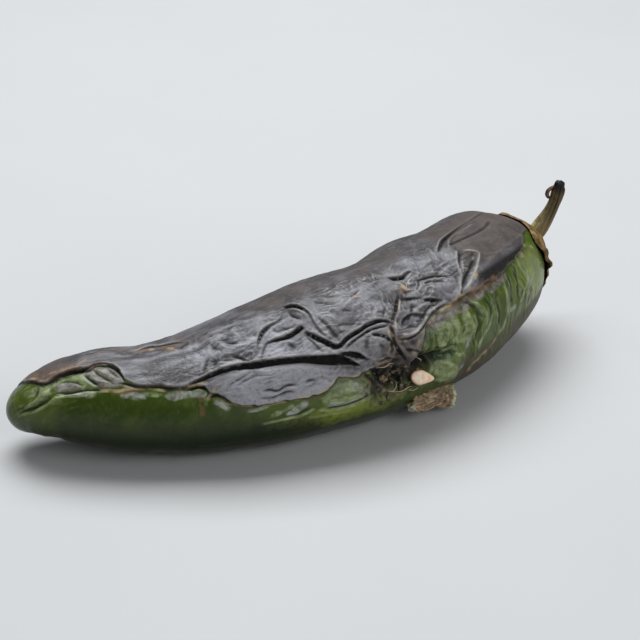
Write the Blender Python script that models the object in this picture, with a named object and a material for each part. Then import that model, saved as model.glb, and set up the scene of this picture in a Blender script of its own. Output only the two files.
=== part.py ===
"""Grilled jalapeno: a roasted chilli pod lying on its side, with its calyx and stem.

The pod is a bent, tapering body with a charred, folded skin on its upper side and a
burst in the side that faces -Y. A seed and a torn scrap of flesh hang in the burst and
are part of the pod's solid. The calyx and the stem grow as one piece on its wide end.

All lengths below are in millimetres and all angles in degrees; MM turns the finished
shapes into metres. Two coordinates place things on the pod: s is the distance along its
axis from the tip, and theta is the angle round the axis from the top, towards -Y.
"""

import bpy
import bmesh
import numpy as np

MM = 0.001

# ---------------------------------------------------------------- the pod's main form
POD_LENGTH = 95.3
TIP_HEADING = -26.0          # direction of the axis at the tip, about +Z from +X
STEM_HEADING = 24.0          # the same at the stem end: the pod is bent by 50 degrees
BEND_MIDDLE = 40.0           # where along the axis the bend is strongest
BEND_SPREAD = 90.0           # length of axis that the bend is spread over
SECTION_POWER = 2.3          # 2 is an ellipse, more is squarer

# One row a station: s, half width, half height
STATIONS = (
    (0.0, 0.0, 0.0),
    (1.4, 3.2, 2.7),
    (5.0, 5.3, 4.3),
    (9.0, 6.6, 5.5),
    (14.0, 7.8, 6.7),
    (20.0, 8.9, 7.3),
    (26.0, 9.7, 8.1),
    (34.0, 10.8, 9.2),
    (44.0, 11.8, 10.4),
    (56.0, 12.7, 11.3),
    (68.0, 12.8, 11.4),
    (78.0, 11.8, 10.8),
    (84.0, 10.5, 10.0),
    (88.5, 8.8, 8.5),
    (92.0, 6.3, 6.2),
    (94.3, 3.6, 3.6),
    (95.3, 0.0, 0.0),
)
# Height of the axis above the table: s, height. The tip and the stem end are raised.
AXIS_HEIGHTS = (
    (0.0, 4.8),
    (5.0, 7.1),
    (9.0, 7.85),
    (14.0, 7.8),
    (20.0, 7.3),
    (26.0, 7.5),
    (34.0, 8.5),
    (55.0, 10.6),
    (70.0, 11.5),
    (84.0, 12.6),
    (95.3, 13.2),
)

# ---------------------------------------------------------------- relief on the pod
# The charred skin stands proud of the green flesh, down to this line: s, theta
CHAR_LINE = (
    (0.0, 15.0),
    (10.0, 47.0),
    (27.0, 52.0),
    (31.0, 70.0),
    (41.0, 82.0),
    (50.0, 75.0),
    (54.0, 62.0),
    (60.0, 62.0),
    (67.0, 49.0),
    (83.0, 42.0),
    (92.0, 25.0),
)
CHAR_RISE = 0.35
CHAR_EDGE = 1.1              # width of the step at the line

# Folds of the loosened skin. Each has a depth (below zero for a ridge), a half width,
# and the route of its bottom or crest as (s, theta) points.
FOLDS = {
    "long_pleat": (1.4, 1.2, ((27, 46), (32, 42), (38, 46), (42, 51), (45, 58), (48, 67))),
    "pleat_upper_lip": (-0.7, 1.5, ((30, 37), (36, 39), (40, 42), (44, 50))),
    "deep_notch": (1.0, 1.2, ((43, 34), (45, 44), (47, 50))),
    "wave_valley": (1.1, 1.2, ((47, 50), (50, 45), (53, 44), (55, 50))),
    "round_facet_edge": (0.7, 1.1, ((51, 50), (53, 58), (53, 66))),
    "cross_gully": (0.9, 1.2, ((57, 34), (56, 43), (54, 52), (54, 74))),
    "panel_top": (0.7, 1.2, ((37, 37), (38, 31), (43, 29))),
    "arch_rim": (0.6, 1.2, ((37, 32), (38, 22), (41, 14))),
    "crown_arc": (0.6, 1.2, ((43, 5), (45, 15), (45, 30), (45, 40))),
    "cheek_ridge": (-0.8, 1.3, ((54, 58), (57, 60), (60, 52), (64, 51), (68, 40), (71, 22))),
    "cheek_hollow": (0.5, 1.2, ((67, 47), (70, 38), (72, 31))),
    "top_groove": (0.7, 1.2, ((68, 15), (72, 6), (75, 2), (79, -1))),
    "shoulder_step": (0.7, 1.4, ((66, 54), (74, 52), (84, 44))),
    "tip_fold": (0.7, 1.1, ((6, 21), (12, 15), (15, 11), (17, 24), (17, 32))),
}
FOLD_FADE = 3.0              # length over which a fold runs out at each end

# Rounded swellings (above zero) and hollows (below zero): s, theta, height,
# half length along s, half width round the pod
MOUNDS = {
    "burst": (53.0, 92.0, -2.4, 3.4, 2.8),
    "burst_mouth": (57.5, 87.0, -2.2, 2.0, 1.7),
    "green_bulge": (61.5, 102.0, 1.3, 2.6, 3.2),
    "cheek": (66.0, 68.0, 0.5, 7.0, 5.0),
    "flank_swell": (47.0, 100.0, 0.5, 5.0, 3.4),
    "facet_hollow": (41.0, 64.0, -0.5, 6.0, 2.6),
    "crown_swell": (50.0, 18.0, 0.4, 8.0, 5.0),
    "top_shoulder": (83.0, -12.0, 0.5, 5.0, 6.0),
    "back_waist": (59.5, -45.0, -1.6, 8.0, 7.0),
    "back_slope": (76.0, -45.0, -1.3, 7.0, 7.0),
}
RELIEF_START = (1.0, 4.0)    # the relief grows from nothing to all over this much s
RELIEF_END = (83.0, 87.0)    # and dies out again before the calyx

# ---------------------------------------------------------------- seed in the burst
SEED_S = 56.5
SEED_THETA = 95.0
SEED_LENGTH = 3.5
SEED_WIDTH = 2.2
SEED_THICKNESS = 1.3
SEED_BEAK = 0.35             # how far the beak is drawn out of the round outline
SEED_LIFT = 0.35             # its middle above the skin that it is stuck to
SEED_HEADING = -24.0         # the way that the beak points, in plan
SEED_DROOP = 5.0             # the beak lies lower by this angle
SEED_FACE_RISE = 28.0        # the open face looks up from the level by this angle

# ---------------------------------------------------------------- torn flap
FLAP_MIDDLE = (15.9, -21.4, 3.9)
FLAP_LENGTH = 8.6
FLAP_WIDTH_LEFT = 4.4
FLAP_WIDTH_RIGHT = 3.8
FLAP_THICKNESS = 1.7
FLAP_HEADING = 12.0
FLAP_DIP = 14.0              # its free end hangs lower by this angle
FLAP_LEAN = 8.0              # its top edge leans in towards the pod
FLAP_WAVE = 0.25

# ---------------------------------------------------------------- calyx and stem
SEAT_GAP = 0.3               # clearance between the calyx and the pod
CALYX_REACH = 7.0            # from the stem's middle to the lobes' tips, over the pod's end
CALYX_LEAN = 5.0             # its side at CALYX_LEAN_THETA reaches further by this
CALYX_LEAN_THETA = 55.0
CALYX_LOBES = 5
LOBE_THETA = 52.0            # the first lobe's middle
LOBE_REACH = 1.6
CALYX_RIM_THICKNESS = 0.6
CALYX_MIDDLE_THICKNESS = 1.5
NECK_RADIUS = 1.7
STEM_RADIUS = 1.3
STEM_TOP_RADIUS = 1.02
# The stem's middle line is one cubic curve from the pod's end, as steps in x, y and z
STEM_HANDLE_1 = (2.6, 1.3, 1.2)
STEM_HANDLE_2 = (6.2, 0.2, 5.8)
STEM_TOP = (6.3, 0.3, 10.4)

# ---------------------------------------------------------------- mesh fineness
POD_AROUND = 52
POD_ALONG = 96
FRONT_DENSITY = 2.2          # how much closer the columns lie on the top and front
FRONT_RANGE = (-15.0, 118.0)
FOLD_DENSITY = 1.5           # how much closer the rings lie among the folds
FOLD_RANGE = (26.0, 72.0)
STEM_AROUND = 36
RINGS_INNER = 8
RINGS_OUTER = 11
RINGS_NECK = 6
RINGS_STEM = 14
RINGS_TOP = 3

COLLECTION = "grilled_jalapeno"
HELPERS = "fused_pieces"


# ================================================================ plain mathematics
def smooth(x):
    """0 below 0, 1 above 1, and an even S-curve between."""
    x = np.clip(x, 0.0, 1.0)
    return x * x * (3.0 - 2.0 * x)


def curve_through(points, x):
    """A cubic through the points that never overshoots them."""
    xs = np.array([p[0] for p in points], float)
    ys = np.array([p[1] for p in points], float)
    step = np.diff(xs)
    rise = np.diff(ys) / step
    slope = np.zeros_like(ys)
    slope[0] = rise[0]
    slope[-1] = rise[-1]
    for i in range(1, len(ys) - 1):
        if rise[i - 1] * rise[i] > 0.0:
            before = 2.0 * step[i] + step[i - 1]
            after = step[i] + 2.0 * step[i - 1]
            slope[i] = (before + after) / (before / rise[i - 1] + after / rise[i])
    i = np.clip(np.searchsorted(xs, x) - 1, 0, len(step) - 1)
    t = (x - xs[i]) / step[i]
    return (
        ys[i] * (2 * t**3 - 3 * t**2 + 1)
        + slope[i] * step[i] * (t**3 - 2 * t**2 + t)
        + ys[i + 1] * (3 * t**2 - 2 * t**3)
        + slope[i + 1] * step[i] * (t**3 - t**2)
    )


def unit(v):
    return v / np.linalg.norm(v, axis=-1, keepdims=True)


# ================================================================ the pod's surface
TABLE_S = np.linspace(0.0, POD_LENGTH, 2001)


def heading(s):
    along = (s - (BEND_MIDDLE - BEND_SPREAD / 2.0)) / BEND_SPREAD
    return np.radians(TIP_HEADING + (STEM_HEADING - TIP_HEADING) * smooth(along))


def walk_the_axis():
    """The axis in plan, with the middle of its two ends at zero."""
    ds = TABLE_S[1] - TABLE_S[0]
    turn = heading(TABLE_S)
    x = np.concatenate([[0.0], np.cumsum(np.cos(turn[:-1]) * ds)])
    y = np.concatenate([[0.0], np.cumsum(np.sin(turn[:-1]) * ds)])
    return x - (x[0] + x[-1]) / 2.0, y - (y[0] + y[-1]) / 2.0


TABLE_X, TABLE_Y = walk_the_axis()


def axis_point(s):
    return np.stack(
        [
            np.interp(s, TABLE_S, TABLE_X),
            np.interp(s, TABLE_S, TABLE_Y),
            curve_through(AXIS_HEIGHTS, s),
        ],
        axis=-1,
    )


def half_size(s, column):
    """Half width (column 1) or half height (column 2), rounded off at both ends."""
    squares = [(row[0], row[column] ** 2) for row in STATIONS]
    return np.sqrt(np.maximum(curve_through(squares, s), 0.0))


def axis_directions(s):
    """Along the axis, to the -Y side, and up, each one unit long."""
    e = 0.05
    ahead = axis_point(np.minimum(s + e, POD_LENGTH))
    behind = axis_point(np.maximum(s - e, 0.0))
    along = unit(ahead - behind)
    level = np.zeros_like(along[..., 0])
    side = unit(np.stack([along[..., 1], -along[..., 0], level], axis=-1))
    up = np.cross(side, along)
    up = up * np.sign(up[..., 2:3])
    return along, side, up


def pod_point(s, theta, lift=0.0):
    """A point over the pod: theta in degrees, lift in mm off the smooth surface."""
    along, side, up = axis_directions(s)
    c = np.cos(np.radians(theta))
    d = np.sin(np.radians(theta))
    n = SECTION_POWER
    k = (np.abs(c) ** n + np.abs(d) ** n) ** (-1.0 / n)
    w = half_size(s, 1)
    h = half_size(s, 2)
    on = axis_point(s) + side * (w * k * d)[..., None] + up * (h * k * c)[..., None]
    e = 0.05
    low = np.maximum(s - e, 0.0)
    high = np.minimum(s + e, POD_LENGTH)
    growth = (half_size(high, 1) - half_size(low, 1)) / (high - low)
    wide = np.maximum(w, 0.3)
    tall = np.maximum(h, 0.3)
    out = (
        side * (np.sign(d) * np.abs(d) ** (n - 1.0) / wide)[..., None]
        + up * (np.sign(c) * np.abs(c) ** (n - 1.0) / tall)[..., None]
    )
    out = unit(unit(out) - along * growth[..., None])
    return on + out * np.asarray(lift)[..., None]


def girth_radius(s):
    return np.maximum((half_size(s, 1) + half_size(s, 2)) / 2.0, 0.5)


# ================================================================ relief
def route_distance(s, theta, route):
    """Distance in mm over the skin to a route, and how far along it, and its length."""
    route = np.array(route, float)
    reach = girth_radius(s)
    px = s
    py = np.radians(theta) * reach
    best = np.full(np.shape(s), 1e9)
    place = np.zeros(np.shape(s))
    run = 0.0
    for a, b in zip(route[:-1], route[1:]):
        ax = a[0]
        ay = np.radians(a[1]) * reach
        bx = b[0]
        by = np.radians(b[1]) * reach
        dx = bx - ax
        dy = by - ay
        size = np.maximum(dx * dx + dy * dy, 1e-9)
        t = np.clip(((px - ax) * dx + (py - ay) * dy) / size, 0.0, 1.0)
        gap = np.hypot(px - ax - t * dx, py - ay - t * dy)
        middle = girth_radius(np.array((a[0] + b[0]) / 2.0))
        length = np.hypot(dx, np.radians(b[1] - a[1]) * middle)
        nearer = gap < best
        best = np.where(nearer, gap, best)
        place = np.where(nearer, run + t * length, place)
        run += float(length)
    return best, place, run


def relief(s, theta):
    """Height of the skin over the smooth pod, in mm."""
    reach = girth_radius(s)
    line = curve_through(CHAR_LINE, np.clip(s, 0.0, CHAR_LINE[-1][0]))
    above = np.radians(line - np.abs(theta)) * reach
    total = CHAR_RISE * smooth(above / CHAR_EDGE + 0.5)
    for depth, half_width, route in FOLDS.values():
        gap, place, run = route_distance(s, theta, route)
        fade = smooth(place / FOLD_FADE + 0.3) * smooth((run - place) / FOLD_FADE + 0.3)
        total = total - depth * fade * np.exp(-((gap / half_width) ** 2))
    for at_s, at_theta, height, half_length, half_width in MOUNDS.values():
        a = (s - at_s) / half_length
        b = np.radians(theta - at_theta) * reach / half_width
        total = total + height * np.exp(-(a * a) - (b * b))
    grow = smooth((s - RELIEF_START[0]) / (RELIEF_START[1] - RELIEF_START[0]))
    die = 1.0 - smooth((s - RELIEF_END[0]) / (RELIEF_END[1] - RELIEF_END[0]))
    return total * grow * die


# ================================================================ mesh helpers
def new_collection(name):
    group = bpy.data.collections.new(name)
    bpy.context.scene.collection.children.link(group)
    return group


def globe(rings, columns):
    """A closed ball of quads, and each vertex's place on it: ring 0 to 1 from pole to
    pole, and column 0 to 1 once round."""
    bm = bmesh.new()
    bmesh.ops.create_uvsphere(bm, u_segments=columns, v_segments=rings, radius=1.0)
    co = np.array([v.co[:] for v in bm.verts])
    ring = np.arccos(np.clip(co[:, 2], -1.0, 1.0)) / np.pi
    column = (np.arctan2(co[:, 1], co[:, 0]) / (2.0 * np.pi)) % 1.0
    ring = np.round(ring * rings) / rings
    column = (np.round(column * columns) / columns) % 1.0
    return bm, ring, column


def finish(bm, points, name, group, smooth_shaded=True):
    """Puts the vertices on their points, in mm, and makes the object, in metres."""
    for vertex, point in zip(bm.verts, points):
        vertex.co = point * MM
    bmesh.ops.recalc_face_normals(bm, faces=bm.faces[:])
    mesh = bpy.data.meshes.new(name)
    bm.to_mesh(mesh)
    bm.free()
    mesh.polygons.foreach_set("use_smooth", [smooth_shaded] * len(mesh.polygons))
    obj = bpy.data.objects.new(name, mesh)
    group.objects.link(obj)
    return obj


def spread(values, weights, steps):
    """Values at equal shares of their running weight."""
    running = np.concatenate([[0.0], np.cumsum((weights[1:] + weights[:-1]) / 2.0)])
    return np.interp(np.asarray(steps) * running[-1], running, values)


def material(name, colour, roughness):
    m = bpy.data.materials.new(name)
    m.use_nodes = True
    shader = m.node_tree.nodes["Principled BSDF"]
    shader.inputs["Base Color"].default_value = (*colour, 1.0)
    shader.inputs["Roughness"].default_value = roughness
    shader.inputs["Metallic"].default_value = 0.0
    m.diffuse_color = (*colour, 1.0)
    return m


# ================================================================ the pieces
def make_pod(group):
    bm, ring, column = globe(POD_ALONG, POD_AROUND)
    meridian = np.hypot(np.gradient(TABLE_S), np.gradient(girth_radius(TABLE_S)))
    folded = (TABLE_S > FOLD_RANGE[0]) & (TABLE_S < FOLD_RANGE[1])
    s = spread(TABLE_S, meridian * np.where(folded, FOLD_DENSITY, 1.0), ring)
    angles = np.linspace(-180.0, 180.0, 721)
    front = (angles > FRONT_RANGE[0]) & (angles < FRONT_RANGE[1])
    theta = spread(angles, np.where(front, FRONT_DENSITY, 1.0), column)
    points = pod_point(s, theta, relief(s, theta))
    points[:, 2] = np.maximum(points[:, 2], 0.0)
    return finish(bm, points, "pod", group)


def make_seed(group):
    """A flat seed with a round end and a beak, lying against the wall of the burst."""
    bm, ring, column = globe(10, 16)
    turn = 2.0 * np.pi * column
    x = np.sin(np.pi * ring) * np.cos(turn)
    y = np.sin(np.pi * ring) * np.sin(turn)
    z = np.cos(np.pi * ring)
    beak = SEED_BEAK * np.maximum(x, 0.0) ** 3
    local_x = (x + beak) * SEED_LENGTH / (2.0 + SEED_BEAK)
    local_y = y * (1.0 - 0.25 * np.maximum(x, 0.0)) * SEED_WIDTH / 2.0
    local_z = z * SEED_THICKNESS / 2.0
    here = np.array(SEED_S)
    round_at = np.array(SEED_THETA)
    middle = pod_point(here, round_at, relief(here, round_at) + SEED_LIFT)
    turn = np.radians(SEED_HEADING)
    droop = np.radians(SEED_DROOP)
    rise = np.radians(SEED_FACE_RISE)
    ahead = np.array([np.cos(turn), np.sin(turn), 0.0])
    outward = np.array([np.sin(turn), -np.cos(turn), 0.0])
    upright = np.array([0.0, 0.0, 1.0])
    length_way = ahead * np.cos(droop) - upright * np.sin(droop)
    face_way = outward * np.cos(rise) + upright * np.sin(rise)
    face_way = unit(face_way - length_way * np.dot(face_way, length_way))
    width_way = np.cross(face_way, length_way)
    points = (
        middle
        + local_x[:, None] * length_way
        + local_y[:, None] * width_way
        + local_z[:, None] * face_way
    )
    return finish(bm, points, "seed_piece", group)


def make_flap(group):
    """A thick torn strip that hangs out of the burst's lower edge."""
    bm = bmesh.new()
    bmesh.ops.create_cube(bm, size=2.0)
    bmesh.ops.subdivide_edges(bm, edges=bm.edges[:], cuts=4, use_grid_fill=True)
    co = np.array([v.co[:] for v in bm.verts])
    u, v, w = co[:, 0], co[:, 1], co[:, 2]
    half = (FLAP_WIDTH_LEFT * (1.0 - u) + FLAP_WIDTH_RIGHT * (1.0 + u)) / 4.0
    thin = 1.0 - 0.35 * np.abs(v) ** 2
    wave = FLAP_WAVE * np.sin(3.0 * u + 1.5 * v)
    local_x = u * (FLAP_LENGTH / 2.0) + 0.35 * np.cos(4.0 * v) * np.abs(u)
    local_y = v * half + 0.2 * np.sin(5.0 * u)
    local_z = w * thin * FLAP_THICKNESS / 2.0 + wave
    turn = np.radians(FLAP_HEADING)
    dip = np.radians(FLAP_DIP)
    lean = np.radians(FLAP_LEAN)
    flat = np.array([np.cos(turn), np.sin(turn), 0.0])
    inward = np.array([-np.sin(turn), np.cos(turn), 0.0])
    upright = np.array([0.0, 0.0, 1.0])
    length_way = flat * np.cos(dip) - upright * np.sin(dip)
    rising = upright * np.cos(dip) + flat * np.sin(dip)
    width_way = rising * np.cos(lean) + inward * np.sin(lean)
    face_way = np.cross(length_way, width_way)
    points = (
        np.array(FLAP_MIDDLE)
        + local_x[:, None] * length_way
        + local_y[:, None] * width_way
        + local_z[:, None] * face_way
    )
    return finish(bm, points, "flap_piece", group)


def fuse(pod, pieces, helpers):
    """One Boolean union of the pod with the small pieces that are stuck to it."""
    helpers.hide_render = True
    for piece in pieces:
        piece.display_type = "WIRE"
        piece.hide_render = True
    union = pod.modifiers.new("fused", "BOOLEAN")
    union.operation = "UNION"
    union.operand_type = "COLLECTION"
    union.collection = helpers
    union.solver = "EXACT"
    bpy.context.view_layer.update()
    evaluated = pod.evaluated_get(bpy.context.evaluated_depsgraph_get())
    whole = bpy.data.meshes.new_from_object(evaluated)
    pod.modifiers.clear()
    old = pod.data
    pod.data = whole
    bpy.data.meshes.remove(old)
    whole.name = "pod"
    for piece in pieces:
        bpy.data.objects.remove(piece, do_unlink=True)
    bpy.data.collections.remove(helpers)


def cubic(t, a, b, c, d):
    t = np.asarray(t)[..., None]
    k = 1.0 - t
    return a * k**3 + 3.0 * b * k**2 * t + 3.0 * c * k * t**2 + d * t**3


def make_stem_and_calyx(group):
    """Rings run from the calyx's underside out round its rim, back over its top, and
    up the stem to the cut end."""
    ring_count = RINGS_INNER + RINGS_OUTER + RINGS_NECK + RINGS_STEM + RINGS_TOP
    bm, ring, column = globe(ring_count, STEM_AROUND)
    index = np.round(ring * ring_count).astype(int)
    theta = column * 360.0 - 180.0
    lobe = 0.5 + 0.5 * np.cos(np.radians((theta - LOBE_THETA) * CALYX_LOBES))
    lean_side = 0.5 + 0.5 * np.cos(np.radians(theta - CALYX_LEAN_THETA))
    lean = CALYX_LEAN * lean_side**4
    edge = CALYX_REACH + lean - LOBE_REACH * (1.0 - lobe**1.5)

    meridian = np.hypot(np.gradient(TABLE_S), np.gradient(girth_radius(TABLE_S)))
    from_end = np.cumsum(meridian[::-1])
    from_end = from_end - from_end[0]

    def station(distance):
        """The s that lies this far over the skin from the pod's stem end."""
        return np.interp(distance, from_end, TABLE_S[::-1])

    end = pod_point(np.array(POD_LENGTH), np.array(0.0))
    root = [end + np.array(step) for step in ((0, 0, 0), STEM_HANDLE_1, STEM_HANDLE_2, STEM_TOP)]

    def stem_ring(t, radius):
        """Points round the stem at share t of its length."""
        here = cubic(t, *root)
        ahead = cubic(np.minimum(t + 0.01, 1.0), *root)
        behind = cubic(np.maximum(t - 0.01, 0.0), *root)
        along = unit(ahead - behind)
        level = np.zeros_like(along[..., 0])
        side = unit(np.stack([along[..., 1], -along[..., 0], level], axis=-1))
        up = np.cross(side, along)
        angle = np.radians(theta)
        round_about = side * np.sin(angle)[:, None] + up * np.cos(angle)[:, None]
        return here + round_about * np.asarray(radius)[..., None]

    def calyx_lift(distance):
        thick = CALYX_RIM_THICKNESS + (CALYX_MIDDLE_THICKNESS - CALYX_RIM_THICKNESS) * (
            1.0 - smooth(distance / CALYX_REACH)
        )
        return SEAT_GAP + thick

    first = RINGS_INNER
    second = first + RINGS_OUTER
    third = second + RINGS_NECK
    fourth = third + RINGS_STEM

    inner_share = np.clip(index / first, 0.0, 1.0)
    inner = pod_point(station(edge * inner_share), theta, np.full_like(theta, SEAT_GAP))

    shoulder = NECK_RADIUS * 1.9
    outer_share = np.clip((index - first) / RINGS_OUTER, 0.0, 1.0)
    outward = edge + (shoulder - edge) * outer_share
    rim_round = np.sqrt(np.clip(outer_share * 6.0, 0.05, 1.0))
    lift = SEAT_GAP + (calyx_lift(outward) - SEAT_GAP) * rim_round
    outer = pod_point(station(outward), theta, lift)

    neck_share = np.clip((index - second) / RINGS_NECK, 0.0, 1.0)
    low_reach = shoulder * (1.0 - 0.75 * neck_share)
    low = pod_point(station(low_reach), theta, calyx_lift(low_reach))
    neck_t = 0.12 + 0.13 * neck_share
    high = stem_ring(neck_t, NECK_RADIUS + (STEM_RADIUS - NECK_RADIUS) * smooth(neck_share))
    mix = smooth(neck_share)[:, None]
    neck = low * (1.0 - mix) + high * mix

    stem_share = np.clip((index - third) / RINGS_STEM, 0.0, 1.0)
    stem_t = 0.25 + 0.75 * stem_share
    stem = stem_ring(stem_t, STEM_RADIUS + (STEM_TOP_RADIUS - STEM_RADIUS) * stem_share)

    top_share = np.clip((index - fourth) / RINGS_TOP, 0.0, 1.0)
    shrink = np.cos(top_share * np.pi / 2.0)
    top = stem_ring(np.ones_like(theta), STEM_TOP_RADIUS * shrink)
    top[:, 2] += 0.35 * np.sin(top_share * np.pi / 2.0)

    points = inner
    points = np.where((index > first)[:, None], outer, points)
    points = np.where((index > second)[:, None], neck, points)
    points = np.where((index > third)[:, None], stem, points)
    points = np.where((index > fourth)[:, None], top, points)
    return finish(bm, points, "stem_and_calyx", group)


def put_origin_under_the_middle(objects):
    """Moves all meshes alike, so the origin is under the middle of the whole part."""
    every = np.concatenate([[v.co[:] for v in obj.data.vertices] for obj in objects])
    low = every.min(axis=0)
    high = every.max(axis=0)
    shift = np.array([-(low[0] + high[0]) / 2.0, -(low[1] + high[1]) / 2.0, -low[2]])
    for obj in objects:
        for vertex in obj.data.vertices:
            vertex.co = np.array(vertex.co[:]) + shift


def main():
    for obj in list(bpy.data.objects):
        bpy.data.objects.remove(obj, do_unlink=True)
    group = new_collection(COLLECTION)
    helpers = new_collection(HELPERS)

    pod = make_pod(group)
    pieces = [make_seed(helpers), make_flap(helpers)]
    fuse(pod, pieces, helpers)
    stem = make_stem_and_calyx(group)
    put_origin_under_the_middle([pod, stem])

    pod.data.materials.clear()
    pod.data.materials.append(material("charred_green_skin", (0.055, 0.075, 0.035), 0.42))
    stem.data.materials.append(material("dry_stem", (0.16, 0.11, 0.035), 0.7))


main()
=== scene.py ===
"""Looks of the grilled jalapeno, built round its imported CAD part.

Lengths are in millimetres and angles in degrees until a mesh is made, and MM turns them
into metres. Two coordinates place things on the pod: s is the distance along its axis
from the tip, and theta is the angle round the axis from the top, towards -Y. A third,
v, is the distance over the skin from the top, so that (s, v) is a flat map of the skin.
"""

import bmesh
import bpy
import numpy as np
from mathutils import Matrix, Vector


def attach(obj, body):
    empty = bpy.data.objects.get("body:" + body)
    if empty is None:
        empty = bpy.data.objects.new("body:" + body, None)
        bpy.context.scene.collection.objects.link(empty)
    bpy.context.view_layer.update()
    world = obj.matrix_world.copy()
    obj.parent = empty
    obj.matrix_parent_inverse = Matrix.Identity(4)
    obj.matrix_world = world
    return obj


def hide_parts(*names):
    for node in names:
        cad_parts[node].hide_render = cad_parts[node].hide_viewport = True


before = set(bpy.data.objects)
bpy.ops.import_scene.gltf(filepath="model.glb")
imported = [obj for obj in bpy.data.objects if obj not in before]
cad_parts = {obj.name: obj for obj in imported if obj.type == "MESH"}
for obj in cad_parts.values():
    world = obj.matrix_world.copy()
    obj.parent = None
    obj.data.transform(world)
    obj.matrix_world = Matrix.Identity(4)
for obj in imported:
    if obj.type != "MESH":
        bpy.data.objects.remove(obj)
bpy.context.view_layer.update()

MM = 0.001

# ================================================================ the pod's main form
# The same sizes as in the part's source, which gives the reasons for them.
POD_LENGTH = 95.3
TIP_HEADING = -26
STEM_HEADING = 24
BEND_MIDDLE = 40
BEND_SPREAD = 90
SECTION_POWER = 2.3
# s, half width, half height
STATIONS = (
    (0, 0, 0), (1.4, 3.2, 2.7), (5, 5.3, 4.3), (9, 6.6, 5.5), (14, 7.8, 6.7), (20, 8.9, 7.3),
    (26, 9.7, 8.1), (34, 10.8, 9.2), (44, 11.8, 10.4), (56, 12.7, 11.3), (68, 12.8, 11.4),
    (78, 11.8, 10.8), (84, 10.5, 10), (88.5, 8.8, 8.5), (92, 6.3, 6.2), (94.3, 3.6, 3.6),
    (95.3, 0, 0),
)
# s, height of the axis over the table
AXIS_HEIGHTS = (
    (0, 4.8), (5, 7.1), (9, 7.85), (14, 7.8), (20, 7.3), (26, 7.5), (34, 8.5), (55, 10.6),
    (70, 11.5), (84, 12.6), (95.3, 13.2),
)
# From the middle of the axis's two ends to the middle of the part's box
ORIGIN_SHIFT = np.array([-3.3335, 8.7443, 0])

# ================================================================ the skin's features
# The charred skin ends at this line on the side that faces -Y, and at FAR_CHAR_LINE on
# the other side: s, theta
CHAR_LINE = (
    (0, -60), (3.6, -12), (4.4, 3), (6, 19), (7, 28), (7.8, 27), (8.4, 22), (9.2, 18), (10.2, 16),
    (12.6, 18), (13.6, 14.5), (15.2, 17), (16.2, 24), (17, 36), (18.4, 40.5), (20.4, 41.5),
    (22.4, 43.5), (25, 48), (28.8, 50), (29.2, 58), (30.2, 60), (30.9, 64), (31.6, 70), (32.6, 74),
    (34.4, 77), (35.8, 79.2), (38.4, 80), (39.8, 81.3), (40.8, 82.5), (41.8, 79.5), (42.8, 80.3),
    (43.6, 79), (44.4, 75.5), (45.4, 73), (46.6, 75), (47.8, 76), (48.8, 75), (49.6, 74),
    (50.4, 77.5), (52, 80), (54.2, 80), (56.2, 78), (57.2, 73), (57.9, 66), (58.5, 61), (59.4, 58.3),
    (60.6, 55.3), (62, 54), (64.8, 52.5), (67, 52.3), (70.6, 51.5), (75.2, 51), (79.6, 50),
    (82.4, 46.5), (84.6, 41), (87.6, 33), (95.3, 28),
)
FAR_CHAR_LINE = (
    (0, -40), (5, -55), (14, -78), (24, -70), (36, -88), (48, -74), (60, -92), (72, -70), (84, -60),
    (95.3, -50),
)

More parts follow.
